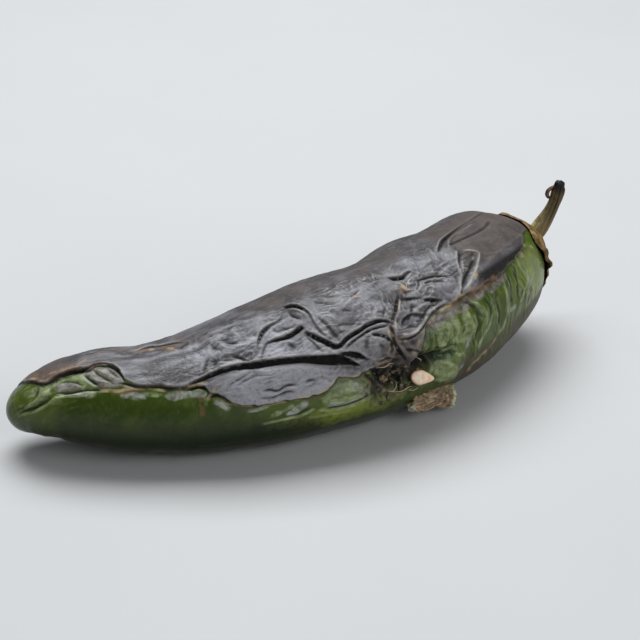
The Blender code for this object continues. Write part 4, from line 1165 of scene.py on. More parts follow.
def flesh_relief(skin):
    """Height of the green skin's wrinkles and dents."""
    # the shrunken flank by the stem end: wrinkles that run round the pod
    swirl = skin.flat * [1.0, 0.28, 1.0] + wander(skin.place, 1.5, 1.0, 6.0, 61)
    wrinkle = ridged(swirl, 2.3, 63) ** 1.5
    wrinkle_fine = ridged(swirl, 1.0, 64) ** 1.3
    height = skin.flank * (0.22 * (wrinkle - 0.35) + 0.10 * wrinkle_fine)

    # the crumpled film over the swelling beside the burst
    swelling = skin.bare * np.clip(1.2 * skin.blob(62.6, 72.0, 4.4, 4.6), 0.0, 1.0)
    stretched = fold_lines(skin.drifted * [1.0, 0.35, 1.0], 1.7, 801, 0.3)
    height += swelling * (0.16 * stretched + 0.08 * skin.crumple("film"))

    # taut skin elsewhere, with shallow dents
    dents = 0.10 * creased(skin.flat, 4.0, 601, 5) + 0.035 * creased(skin.flat, 1.5, 701, 5)
    dents += 0.16 * band(skin.s, 1.0, 10.0, 4.0) * skin.crumple("tip")
    return height + skin.bare * (1.0 - skin.flank) * dents


def brown_mask(skin):
    """Where the char is thin and brown, or the green skin scorched."""
    p, char, area = skin.place, skin.char, skin.area
    scorch = smooth(0.5 + 1.2 * noise(p, 3.0, 81) - 1.1 * np.abs(skin.near_edge) / 2.0) * skin.bare
    brown = 0.7 * scorch * band(skin.s, 28.0, 84.0, 6.0)
    brown += 0.85 * area["far_end"] + 0.5 * skin.blob(55.0, 70.0, 3.0, 2.4)
    brown += 0.8 * skin.tongue + 1.2 * skin.burst
    brown += char * (0.85 * area["shoulder"] + 0.8 * area["tip_top"])
    for strength, *place in BROWN_PATCHES:
        brown += char * strength * skin.blob(*place)
    cloudy = smooth(noise(p, 7.0, 85) * 1.6 - 0.1)
    return brown + 0.5 * char * cloudy * band(skin.theta, -140.0, 8.0, 20.0)


def painted_sheen_mask(skin):
    """Painted sheen on the char's facets: more on the lower sheet, the panel, the silver streaks and
    the left, and less on the back, the cheek and the shoulder.
    """
    area = skin.area
    silver = noise(skin.flat * [0.22, 1.0, 1.0], 1.0, 91)
    lit = 0.1 + 0.3 * skin.loose + 0.95 * area["sheet"] + 0.5 * skin.panel - 0.3 * area["cheek"]
    lit += 0.9 * silver * area["silver"] + 0.05 * area["tip_char"] + 0.14 * area["left"]
    lit += 0.4 * noise(skin.place, 3.6, 86) + 0.15 * skin.small - 0.25 * area["back"]
    return skin.char * lit * (1.0 - 0.9 * area["shoulder"])


def colour_masks(skin, height, glint):
    """Where each tone shows, and where shade and highlights are painted."""
    p, bare, area, folds = skin.place, skin.bare, skin.area, skin.folds
    # painted shade darkens what lies below its surroundings, and a painted highlight lightens what
    # stands out
    fine = skin.cavity(height, 0.22) / 0.07
    broad = skin.cavity(height, 0.7) / 0.3
    painted_hollow_shade = 0.6 * np.clip(fine, 0.0, 1.0) + 0.5 * np.clip(broad, 0.0, 1.0)
    # painted shade in the burst's mouth over its dark char, patchy
    inside_burst = skin.burst * (0.3 + 0.7 * smooth(0.5 + 1.2 * noise(p, 1.2, 82)))
    streaks = smooth((noise(skin.flat * [0.3, 1.0, 1.0], 0.8, 90) - 0.05) / 0.4)
    pale = skin.film("pale", 84) + 0.6 * streaks * area["tip_streaks"] * bare
    low = 9.5 + 2.5 * band(skin.s, 8.0, 42.0, 4.0)
    far_side = band(skin.theta, -180.0, 2.0, 14.0)
    return {
        "char": skin.char,
        # painted shade: near black in tucks' gaps, along creases and in the burst's mouth
        "gap": folds["gap"] + 0.95 * inside_burst,
        "painted_hollow_shade": painted_hollow_shade * (1.0 - 0.4 * skin.flank),
        "painted_crest_light": 0.7 * np.clip(-fine, 0.0, 1.0) + 0.3 * np.clip(-broad, 0.0, 1.0),
        "matte": skin.char * np.clip(far_side + 0.7 * area["shoulder"], 0.0, 1.0),
        # painted highlights along fold lips and ridges, and painted glints
        "light": folds["light"] * smooth(0.7 + 1.3 * noise(p, 1.3, 89)) + glint,
        "cream": folds["cream"] * smooth(0.6 + 1.3 * noise(p, 1.2, 83)),
        "rust": folds["rust"] * smooth(0.8 + 1.3 * noise(p, 1.0, 88)),
        "pale": np.maximum(folds["pale"], pale * bare),
        # whitish films, and painted highlights where the skin is glossy
        "white_and_glint": np.maximum(folds["white_and_glint"], skin.film("white_and_glint", 92) * bare),
        "ash": skin.film("ash", 94) * bare,
        "lime": skin.film("lime", 96) * 0.9,
        "deep": skin.film("deep", 98),
        "fresh": area["fresh"],
        "edge_shade": band(skin.near_edge, -0.35, 0.05, 0.2) * smooth(0.5 + 1.4 * noise(p, 1.7, 87)),
        "brown": brown_mask(skin),
        # the char made darker in a band by the shoulder's lower edge
        "dark_band": skin.char * area["dark_band"],
        # painted sheen on the char's facets
        "film": painted_sheen_mask(skin),
        # painted shade: the skin darkens towards the floor
        "underside": smooth((low - p[:, 2]) / 7.0),
    }


def shape_skin(skin, sink):
    """Points and masks of a piece of skin. Sink is how far each point is pressed in."""
    p, folds = skin.place, skin.folds
    height = mound_height(skin.s, skin.theta) + folds["height"]
    # the charred skin stands proud of the green flesh
    height += 0.3 * smooth(skin.near_edge / 0.4 + 0.5) * smooth(skin.far_edge / 2.0 + 0.5)
    height += 0.25 * noise(p, 14.0, 51) + 0.10 * noise(p, 6.0, 52)
    crumples, glint = char_relief(skin)
    height += crumples + flesh_relief(skin)
    # the burst's lumpy wall
    height += skin.burst * (0.75 * (ridged(p, 1.6, 71) - 0.4) + 0.35 * noise(p, 0.7, 72))

    settle = smooth((skin.s - 1.0) / 4.0) * (1.0 - smooth((skin.s - 84.0) / 4.0))
    points = pod_point(
        skin.s + folds["shift_s"] * settle,
        skin.theta + np.degrees(folds["shift_v"] * settle / skin.reach),
        height * settle - sink,
    )
    points[:, 2] = np.maximum(points[:, 2], 0.0)
    return points, colour_masks(skin, height, glint)


def inside_patch(s, theta, range_s, range_theta):
    """How far in mm a point lies inside a patch's edge."""
    by_s = np.minimum(s - range_s[0], range_s[1] - s)
    by_theta = np.minimum(theta - range_theta[0], range_theta[1] - theta)
    return np.minimum(by_s, np.radians(by_theta) * girth_radius(s))


def make_pod():
    ring, column = ball_map(POD_RINGS, POD_COLUMNS)
    angles = np.linspace(-180.0, 180.0, 1441)
    s = spread(TABLE_S, TABLE_GROWTH * curve_through(RING_DENSITY, TABLE_S), ring)
    theta = spread(angles, curve_through(COLUMN_DENSITY, angles), column)
    skin = Skin(s, theta, (POD_RINGS - 1, POD_COLUMNS), POD_CELL)
    inside = [inside_patch(s, theta, *ranges) for *ranges, _ in PATCHES.values()]
    # neighbouring patches overlap, so their shared edges count as covered too
    for (_, range_theta, _), joint in zip(list(PATCHES.values())[1:], PATCH_JOINTS):
        inside.append(inside_patch(s, theta, (joint - JOINT_REACH, joint + JOINT_REACH), range_theta))
    covered = smooth(np.maximum.reduce(inside) / SINK_EDGE)
    points, masks = shape_skin(skin, SINK * covered)
    return mesh_object("pod_skin", points, ball_faces(POD_RINGS, POD_COLUMNS), masks)


def make_patch(name):
    """A finer sheet of the same skin, whose rim dips under its surroundings."""
    range_s, range_theta, cell = PATCHES[name]
    middle = np.array(sum(range_s) / 2.0)
    arc = np.radians(range_theta[1] - range_theta[0]) * float(girth_radius(middle))
    rows = int((range_s[1] - range_s[0]) / cell)
    columns = int(arc / cell)
    grid = np.meshgrid(np.linspace(*range_s, rows), np.linspace(*range_theta, columns), indexing="ij")
    s, theta = (values.ravel() for values in grid)
    skin = Skin(s, theta, (rows, columns), cell)
    rim = 1.0 - smooth(inside_patch(s, theta, range_s, range_theta) / RIM_EDGE)
    points, masks = shape_skin(skin, RIM_DIP * rim)
    return mesh_object(name, points, sheet_faces(rows, columns), masks)


# ================================================================ seed, flap and crumbs
SEED_S = 56.5
SEED_THETA = 95
SEED_LIFT = 0.75
SEED_LENGTH = 3.55
SEED_WIDTH = 2.25
SEED_THICKNESS = 1.1
SEED_BEAK = 0.35
SEED_HEADING = -24
SEED_DROOP = 5
SEED_FACE_RISE = 28
SEED_RINGS = 40
SEED_COLUMNS = 64

FLAP_MIDDLE = np.array([15.9, -21.4, 3.9]) + ORIGIN_SHIFT
FLAP_LENGTH = 8.6
FLAP_WIDTH_LEFT = 4.4
FLAP_WIDTH_RIGHT = 3.8
FLAP_THICKNESS = 1.7
FLAP_HEADING = 12
FLAP_DIP = 14
FLAP_LEAN = 8
FLAP_CUTS = 63

UPRIGHT = np.array([0.0, 0.0, 1.0])

CRUMB_SEED = 7
CRUMB_COUNT = 70
CRUMB_RINGS = 8
CRUMB_COLUMNS = 12

# Threads of dried pith in and round the burst: a radius and (s, theta, lift) points
PITH_THREADS = (
    (0.07, ((51.6, 97.5, 0.1), (52.4, 99.5, 0.35), (53, 96.5, 0.2), (53.2, 94, -0.3))),
    (0.06, ((52.6, 101, 0.1), (53.8, 102.5, 0.3), (55, 101.5, 0.25), (55.8, 103.5, 0.1))),
    (0.06, ((50.4, 74, 0.3), (51.4, 76, 0.4), (52.4, 75, 0.3), (53, 77, 0.1))),
    (0.06, ((56.4, 79, 0.1), (57, 82, 0.2), (57.2, 85, -0.3))),
    (0.05, ((54.8, 104, 0.3), (55.8, 106, 0.4), (56.8, 105.5, 0.2))),
    (0.05, ((58.2, 24, 0.5), (58.7, 27, 0.75), (58.5, 30, 0.7), (58.9, 32.5, 0.5))),
    (0.05, ((59.2, 25, 0.5), (59.4, 28, 0.8), (59, 31, 0.6))),
)
TUBE_COLUMNS = 8


def make_seed():
    ball = unit_ball(SEED_RINGS, SEED_COLUMNS)
    x, y, z = ball.T
    across = np.hypot(x, y)
    beak = SEED_BEAK * np.maximum(x, 0.0) ** 3
    rim = np.exp(-(((across - 0.86) / 0.12) ** 2))
    dish = 1.0 - 0.35 * np.exp(-((across / 0.6) ** 2))
    local_x = (x + beak) * SEED_LENGTH / (2.0 + SEED_BEAK)
    local_y = y * (1.0 - 0.25 * np.maximum(x, 0.0)) * SEED_WIDTH / 2.0
    local_z = np.sign(z) * (np.abs(z) ** 0.75 * dish * SEED_THICKNESS / 2.0 + 0.06 * rim)
    local = np.stack([local_x, local_y, local_z], axis=-1)
    local[:, 2] += 0.05 * noise(local, 0.7, 5) + 0.025 * noise(local, 0.25, 6)
    local[:, 1] += 0.04 * noise(local, 0.9, 7)

    turn, droop, rise = np.radians([SEED_HEADING, SEED_DROOP, SEED_FACE_RISE])
    ahead = np.array([np.cos(turn), np.sin(turn), 0.0])
    outward = np.array([np.sin(turn), -np.cos(turn), 0.0])
    length_way = ahead * np.cos(droop) - UPRIGHT * np.sin(droop)
    face_way = outward * np.cos(rise) + UPRIGHT * np.sin(rise)
    face_way = unit(face_way - length_way * np.dot(face_way, length_way))
    here = pod_place(SEED_S, SEED_THETA, SEED_LIFT)[0]
    points = set_out(here, local, (length_way, np.cross(face_way, length_way), face_way))
    masks = {"rim": smooth((across - 0.55) / 0.4), "beak": smooth(x * 1.6 - 0.7)}
    return mesh_object("seed", points, ball_faces(SEED_RINGS, SEED_COLUMNS), masks)


def flap_directions():
    turn, dip, lean = np.radians([FLAP_HEADING, FLAP_DIP, FLAP_LEAN])
    flat = np.array([np.cos(turn), np.sin(turn), 0.0])
    inward = np.array([-np.sin(turn), np.cos(turn), 0.0])
    length_way = flat * np.cos(dip) - UPRIGHT * np.sin(dip)
    rising = UPRIGHT * np.cos(dip) + flat * np.sin(dip)
    width_way = rising * np.cos(lean) + inward * np.sin(lean)
    return length_way, width_way, np.cross(length_way, width_way)


def cut_cube(cuts):
    """Points of a cube from -1 to 1 whose sides are cut up finely, and its faces."""
    bm = bmesh.new()
    bmesh.ops.create_cube(bm, size=2.0)
    bmesh.ops.subdivide_edges(bm, edges=bm.edges[:], cuts=cuts, use_grid_fill=True)
    bmesh.ops.recalc_face_normals(bm, faces=bm.faces[:])
    bm.verts.index_update()
    points = np.array([vertex.co[:] for vertex in bm.verts])
    faces = [tuple(vertex.index for vertex in face.verts) for face in bm.faces]
    bm.free()
    return points, faces


def make_flap():
    """The torn strip: a closed, lumpy slab whose outline and faces are frayed."""
    cube, faces = cut_cube(FLAP_CUTS)
    u, v, w = cube.T
    half = (FLAP_WIDTH_LEFT * (1.0 - u) + FLAP_WIDTH_RIGHT * (1.0 + u)) / 4.0
    thin = 1.0 - 0.45 * np.abs(v) ** 3 - 0.3 * np.abs(u) ** 6
    raw = np.stack([u * FLAP_LENGTH / 2.0, v * half, w * FLAP_THICKNESS / 2.0], axis=-1)
    fray_u = 0.45 * noise(raw * [0.3, 1.0, 1.0], 0.9, 3) + 0.2 * noise(raw, 0.5, 4)
    fray_v = 0.3 * noise(raw * [1.0, 0.3, 1.0], 1.2, 8) + 0.15 * noise(raw, 0.5, 9)
    fibres = ridged(raw * [0.35, 1.0, 1.0] + [0.0, 0.25, 0.0], 0.75, 15)
    front = smooth(w * 2.0 - 0.5) - smooth(-w * 2.0 - 0.5)
    local_x = raw[:, 0] + 0.7 * fray_u * np.abs(u) ** 4 + 0.15 * np.cos(4.0 * v) * np.abs(u)
    local_y = raw[:, 1] + fray_v * np.abs(v) ** 4 + 0.2 * np.sin(5.0 * u)
    local_z = w * thin * FLAP_THICKNESS / 2.0 + 0.25 * np.sin(3.0 * u + 1.5 * v)
    local_z += front * (0.28 * (fibres - 0.5) + 0.22 * noise(raw, 0.7, 16))
    local = np.stack([local_x, local_y, local_z], axis=-1)
    points = set_out(FLAP_MIDDLE, local, flap_directions())
    points[:, 2] = np.maximum(points[:, 2], 0.05)
    masks = {
        "fibre": fibres,
        "tear": smooth((u - 0.72) / 0.2),
        "upper": smooth((v - 0.2) / 0.6),
        "left_tip": smooth((-u - 0.85) / 0.12) * smooth((-v - 0.2) / 0.5),
    }
    return mesh_object("torn_flap", points, faces, masks)


def make_crumbs():
    """Small lumps of char and dried flesh that cling in the burst."""
    rng = np.random.default_rng(CRUMB_SEED)
    ball = unit_ball(CRUMB_RINGS, CRUMB_COLUMNS)
    faces = ball_faces(CRUMB_RINGS, CRUMB_COLUMNS)
    bodies = []
    tint = []
    for i in range(CRUMB_COUNT):
        s = rng.uniform(50.6, 57.2)
        theta = rng.uniform(79.0, 109.0)
        size = rng.uniform(0.12, 0.42)
        stretch = rng.uniform(0.5, 1.6, 3)
        spin = rng.uniform(0.0, 2.0 * np.pi)
        here, along, round_way, out = pod_place(s, theta, mound_height(s, theta))
        lump = ball * size * stretch * (1.0 + 0.5 * noise(ball * 0.9 + i * 3.1, 0.8, i))[:, None]
        a = along * np.cos(spin) + round_way * np.sin(spin)
        b = round_way * np.cos(spin) - along * np.sin(spin)
        bodies.append((set_out(here, lump, (a, b, out)), faces))
        tint.append(np.full(len(ball), rng.uniform(0.0, 1.0) ** 2.5))
    return gathered("burst_crumbs", bodies, {"tint": np.concatenate(tint)})


def tube(radius, line):
    """Points and faces of a thin tapered tube along a line of points in mm."""
    along = unit(np.gradient(line, axis=0))
    side = unit(np.cross(along, [0.3, 0.2, 1.0]))
    up = np.cross(side, along)
    count = len(line)
    thick = (radius * np.sin(np.linspace(0.25, np.pi - 0.25, count)))[:, None]
    points = []
    faces = []
    for k in range(TUBE_COLUMNS):
        turn = 2.0 * np.pi * k / TUBE_COLUMNS
        points.append(line + (side * np.cos(turn) + up * np.sin(turn)) * thick)
        for i in range(count - 1):
            a = k * count + i
            b = (k + 1) % TUBE_COLUMNS * count + i
            faces.append((a, b, b + 1, a + 1))
    faces.append(tuple(k * count for k in range(TUBE_COLUMNS)))
    faces.append(tuple(k * count + count - 1 for k in reversed(range(TUBE_COLUMNS))))
    return np.concatenate(points), faces


def make_threads():
    lines = [(radius, soften_route(route, 0.3)) for radius, route in PITH_THREADS]
    return gathered("pith_threads", [tube(radius, pod_point(*line.T)) for radius, line in lines])


# ================================================================ calyx and stem
SEAT_GAP = 0.3
CALYX_REACH = 7
CALYX_LEAN = 5
CALYX_LEAN_THETA = 55
CALYX_LOBES = 5
LOBE_THETA = 52
LOBE_REACH = 1.6
# Tips of the dried skirt that stand off the pod: theta, half width, and height in mm
SKIRT_TIPS = ((61, 6, 0.7), (79, 6.5, 1.1), (98, 7, 0.4), (150, 10, 0.4), (-70, 9, 0.4), (-125, 9, 0.5))
CALYX_RIM_THICKNESS = 0.35
CALYX_MIDDLE_THICKNESS = 1.5
NECK_RADIUS = 1.7
NECK_FOOT = 1.9 * NECK_RADIUS
STEM_RADIUS = 1.3
STEM_TOP_RADIUS = 1.02
# The stem leaves the calyx's middle and bends up: its curve, from the pod's stem end
STEM_CURVE = STEM_END + np.array([(0, 0, 0), (2.6, 1.3, 1.2), (6.2, 0.2, 5.8), (6.3, 0.3, 10.4)])
# The share of that curve at which the neck starts, and at which it becomes the stem
NECK_START = 0.12
NECK_END = 0.25
STEM_AROUND = 168
RINGS_INNER = 40
RINGS_OUTER = 90
RINGS_NECK = 40
RINGS_STEM = 120
RINGS_TOP = 14
# A strip of dried peel that curls off the stem's top, from the same place
PEEL_RADIUS = 0.36
PEEL_ROUTE = (
    (6.1, 0.4, 9.9), (5.3, 0.7, 9.8), (4.6, 1, 9.2), (4.4, 1.1, 8.3), (4.9, 0.9, 7.7), (5.4, 0.7, 8.1),
)
PEEL_STEPS = 40
PEEL_ROUNDS = 12

FROM_STEM_END = np.cumsum(TABLE_GROWTH[::-1]) - TABLE_GROWTH[-1]


def station(distance):
    """The s that lies this far over the skin from the pod's stem end."""
    return np.interp(distance, FROM_STEM_END, TABLE_S[::-1])


def calyx_edge(theta):
    """How far the calyx's ragged rim lies from the pod's stem end."""
    lobe = 0.5 + 0.5 * np.cos(np.radians((theta - LOBE_THETA) * CALYX_LOBES))
    lean_side = 0.5 + 0.5 * np.cos(np.radians(theta - CALYX_LEAN_THETA))
    around = np.radians(theta)
    place = np.stack([np.cos(around), np.sin(around), np.zeros_like(theta)], axis=-1)
    rag = 0.35 * noise(place, 0.22, 3) + 0.16 * noise(place, 0.07, 4)
    return CALYX_REACH + CALYX_LEAN * lean_side**4 - LOBE_REACH * (1.0 - lobe**1.5) + rag


def calyx_lift(distance):
    thinner = 1.0 - smooth(distance / CALYX_REACH)
    thick = CALYX_RIM_THICKNESS + (CALYX_MIDDLE_THICKNESS - CALYX_RIM_THICKNESS) * thinner
    return SEAT_GAP + thick


def skirt(theta):
    """How far the rim's dried tips stand off the pod."""
    return sum(
        height * np.exp(-(((theta - at_theta) / width) ** 2)) for at_theta, width, height in SKIRT_TIPS
    )


def ribs(theta, t):
    """Lengthwise ribs of the dried stem, which turn a little as they rise."""
    a = np.radians(theta + 40.0 * t)
    fine = 0.025 * np.cos(19.0 * a + 2.0 + 3.0 * t)
    return 0.07 * np.cos(5.0 * a) + 0.04 * np.cos(11.0 * a + 1.0) + fine


def cubic(t, a, b, c, d):
    t = np.asarray(t)[..., None]
    k = 1.0 - t
    return a * k**3 + 3.0 * b * k**2 * t + 3.0 * c * k * t**2 + d * t**3


def stem_ring(theta, t, radius):
    """Points round the stem at share t of its length."""
    ahead = cubic(np.minimum(t + 0.01, 1.0), *STEM_CURVE)
    behind = cubic(np.maximum(t - 0.01, 0.0), *STEM_CURVE)
    side, up = beside(unit(ahead - behind))
    angle = np.radians(theta)[:, None]
    round_about = side * np.sin(angle) + up * np.cos(angle)
    return cubic(t, *STEM_CURVE) + round_about * np.asarray(radius)[..., None]


def calyx_top(theta, edge, share):
    """The calyx from its rim back to the foot of the stem's neck."""
    outward = edge + (NECK_FOOT - edge) * share
    rim_round = np.sqrt(np.clip(share * 9.0, 0.02, 1.0))
    veins = 0.12 * np.cos(np.radians((theta - LOBE_THETA) * CALYX_LOBES)) * smooth(1.0 - share)
    lift = SEAT_GAP + (calyx_lift(outward) - SEAT_GAP + veins) * rim_round
    plain = pod_point(station(outward), theta, lift)
    wrinkle = 0.16 * noise(plain, 1.8, 21) + 0.12 * (ridged(plain, 1.1, 22) - 0.5)
    curl = skirt(theta) * smooth(1.0 - share * 3.0)
    return pod_point(station(outward), theta, lift + (wrinkle + curl) * rim_round)


def stem_neck(theta, share):
    """The calyx's middle, which rises into the stem."""
    reach = NECK_FOOT * (1.0 - 0.75 * share)
    low = pod_point(station(reach), theta, calyx_lift(reach))
    t = NECK_START + (NECK_END - NECK_START) * share
    radius = NECK_RADIUS + (STEM_RADIUS - NECK_RADIUS) * smooth(share)
    high = stem_ring(theta, t, radius + ribs(theta, t) * share)
    mix = smooth(share)[:, None]
    neck = low * (1.0 - mix) + high * mix
    return neck + (0.1 * noise(neck, 1.1, 23) * (1.0 - share))[:, None] * unit(neck - STEM_END)


def stem_length(theta, share):
    t = NECK_END + (1.0 - NECK_END) * share
    radius = STEM_RADIUS + (STEM_TOP_RADIUS - STEM_RADIUS) * share
    radius = radius * (1.0 + 0.12 * np.sin(share * 7.0 + 0.6))
    thinner = 1.0 - 0.3 * smooth((share - 0.86) / 0.14)
    stem = stem_ring(theta, t, radius * thinner + ribs(theta, t))
    return stem + (0.07 * noise(stem, 0.7, 24))[:, None] * np.array([1.0, 0.6, 0.0])


def stem_cut(theta, share):
    """The stem's rounded, ragged top."""
    t = np.ones_like(theta)
    radius = 0.7 * STEM_TOP_RADIUS * (1.0 + 0.12 * np.sin(7.6)) + ribs(theta, t)
    top = stem_ring(theta, t, radius * np.cos(share * np.pi / 2.0))
    top[:, 2] += 0.5 * np.sin(share * np.pi / 2.0) + 0.18 * noise(top, 0.5, 25) * share
    return top


def make_stem_and_calyx():
    """Rings run from the calyx's underside out round its rim, back over its top, and
    up the stem to the cut end."""
    counts = (RINGS_INNER, RINGS_OUTER, RINGS_NECK, RINGS_STEM, RINGS_TOP)
    starts = np.cumsum((0, *counts[:-1]))
    ring, column = ball_map(sum(counts), STEM_AROUND)
    index = np.round(ring * sum(counts)).astype(int)
    theta = column * 360.0 - 180.0
    shares = [np.clip((index - start) / count, 0.0, 1.0) for start, count in zip(starts, counts)]
    under_share, top_share, neck_share, stem_share, cut_share = shares
    edge = calyx_edge(theta)
    hang = skirt(theta) * under_share**8
    points = pod_point(station(edge * under_share), theta, SEAT_GAP + hang)
    stretches = (
        calyx_top(theta, edge, top_share),
        stem_neck(theta, neck_share),
        stem_length(theta, stem_share),
        stem_cut(theta, cut_share),
    )
    for start, stretch in zip(starts[1:], stretches):
        points = np.where((index > start)[:, None], stretch, points)
    on_calyx = index <= starts[2]
    up_stem = np.where(index > starts[3], 0.15 + 0.85 * stem_share, 0.15 * neck_share)
    masks = {
        "up_stem": up_stem,
        "rim": np.where(on_calyx, 1.0 - smooth(top_share * 5.0), 0.0),
        "on_calyx": np.where(on_calyx, 1.0, 1.0 - smooth(neck_share * 1.5)),
        "rib": 0.5 + 4.0 * ribs(theta, up_stem),
        # one side greener and lighter: its own green, and painted light on the side towards the lamps
        "green_and_painted_lit_side": smooth(0.5 + 0.9 * np.cos(np.radians(theta + 70.0))),
    }
    return mesh_object("calyx_stem", points, ball_faces(sum(counts), STEM_AROUND), masks)


def make_peel():
    """The curled strip: its route's corners are eased, and its ends kept."""
    corners = np.array(PEEL_ROUTE) + STEM_END
    share = np.linspace(0.0, len(corners) - 1.0, PEEL_STEPS)
    line = np.stack([np.interp(share, np.arange(len(corners)), row) for row in corners.T], axis=-1)
    for _ in range(PEEL_ROUNDS):
        line[1:-1] = (line[:-2] + 2.0 * line[1:-1] + line[2:]) / 4.0
    return gathered("stem_peel", [tube(PEEL_RADIUS, line)])


# ================================================================ materials
class Look:
    """A material with a short way of adding and joining nodes."""

    # A mix node's sockets for each kind of value: the factor, the two values, the result
    MIX_SOCKETS = {"RGBA": (0, 6, 7, 2), "FLOAT": (0, 2, 3, 0)}

    def __init__(self, name, **fixed):
        """Fixed values are set on the shader's own sockets, with _ for a blank."""
        self.material = bpy.data.materials.new(name)
        self.material.use_nodes = True
        self.tree = self.material.node_tree
        self.shader = self.tree.nodes["Principled BSDF"]
        self.shader.inputs["Metallic"].default_value = 0.0
        for key, value in fixed.items():
            self.shader.inputs[key.replace("_", " ")].default_value = value

    def feed(self, socket, value):
        """Sets a socket to a number or colour, or joins it to an output."""
        if isinstance(value, bpy.types.NodeSocket):
            self.tree.links.new(value, socket)
        elif isinstance(value, (tuple, list)):
            socket.default_value = (*value, 1.0) if len(value) == 3 else value
        else:
            socket.default_value = value

    def node(self, kind, inputs, **settings):
        """A node with its settings, and its inputs by name or number."""
        node = self.tree.nodes.new(kind)
        for key, value in settings.items():
            setattr(node, key, value)
        for key, value in inputs.items():
            self.feed(node.inputs[key], value)
        return node

    def mask(self, name):
        return self.node("ShaderNodeAttribute", {}, attribute_name=name).outputs["Fac"]

    def mix(self, fac, a, b, kind="RGBA"):
        *sockets, result = self.MIX_SOCKETS[kind]
        node = self.node("ShaderNodeMix", dict(zip(sockets, (fac, a, b))), data_type=kind)
        return node.outputs[result]

    def blend(self, fac, a, b):
        """Mixes two numbers."""
        return self.mix(fac, a, b, "FLOAT")

    def times(self, a, b):
        return self.node("ShaderNodeMath", {0: a, 1: b}, operation="MULTIPLY").outputs[0]

    def layered(self, colour, *layers):
        """Tones laid over a colour, each where a mask is and at its share."""
        for name, share, tone in layers:
            colour = self.mix(self.times(self.mask(name), share), colour, tone)
        return colour

    def ramp(self, value, low, high, out_low=0.0, out_high=1.0):
        inputs = {
            "Value": value, "From Min": low, "From Max": high, "To Min": out_low, "To Max": out_high,
        }
        return self.node("ShaderNodeMapRange", inputs, interpolation_type="SMOOTHSTEP").outputs[0]

    def place(self, *stretch):
        """Object coordinates in millimetres, squeezed along each axis."""
        where = self.node("ShaderNodeTexCoord", {}).outputs["Object"]
        scale = self.node("ShaderNodeMapping", {"Vector": where})
        scale.inputs["Scale"].default_value = tuple(k / MM for k in stretch or (1.0, 1.0, 1.0))
        return scale.outputs["Vector"]

    def noise(self, where, size, detail=4.0, rough=0.55, distortion=0.0):
        inputs = {
            "Vector": where, "Scale": 1.0 / size, "Detail": detail, "Roughness": rough,
            "Distortion": distortion,
        }
        return self.node("ShaderNodeTexNoise", inputs).outputs["Fac"]

    def cells(self, where, size):
        """The distance from the edges of cells of this size."""
        inputs = {"Vector": where, "Scale": 1.0 / size}
        node = self.node("ShaderNodeTexVoronoi", inputs, feature="DISTANCE_TO_EDGE")
        return node.outputs["Distance"]

    def bump(self, height, distance, strength, after=None):
        inputs = {"Strength": strength, "Distance": distance * MM, "Height": height}
        if after is not None:
            inputs["Normal"] = after
        return self.node("ShaderNodeBump", inputs).outputs["Normal"]

    def finish(self, colour, roughness, normal=None):
        self.feed(self.shader.inputs["Base Color"], colour)
        self.feed(self.shader.inputs["Roughness"], roughness)
        if normal is not None:
            self.feed(self.shader.inputs["Normal"], normal)
        return self.material


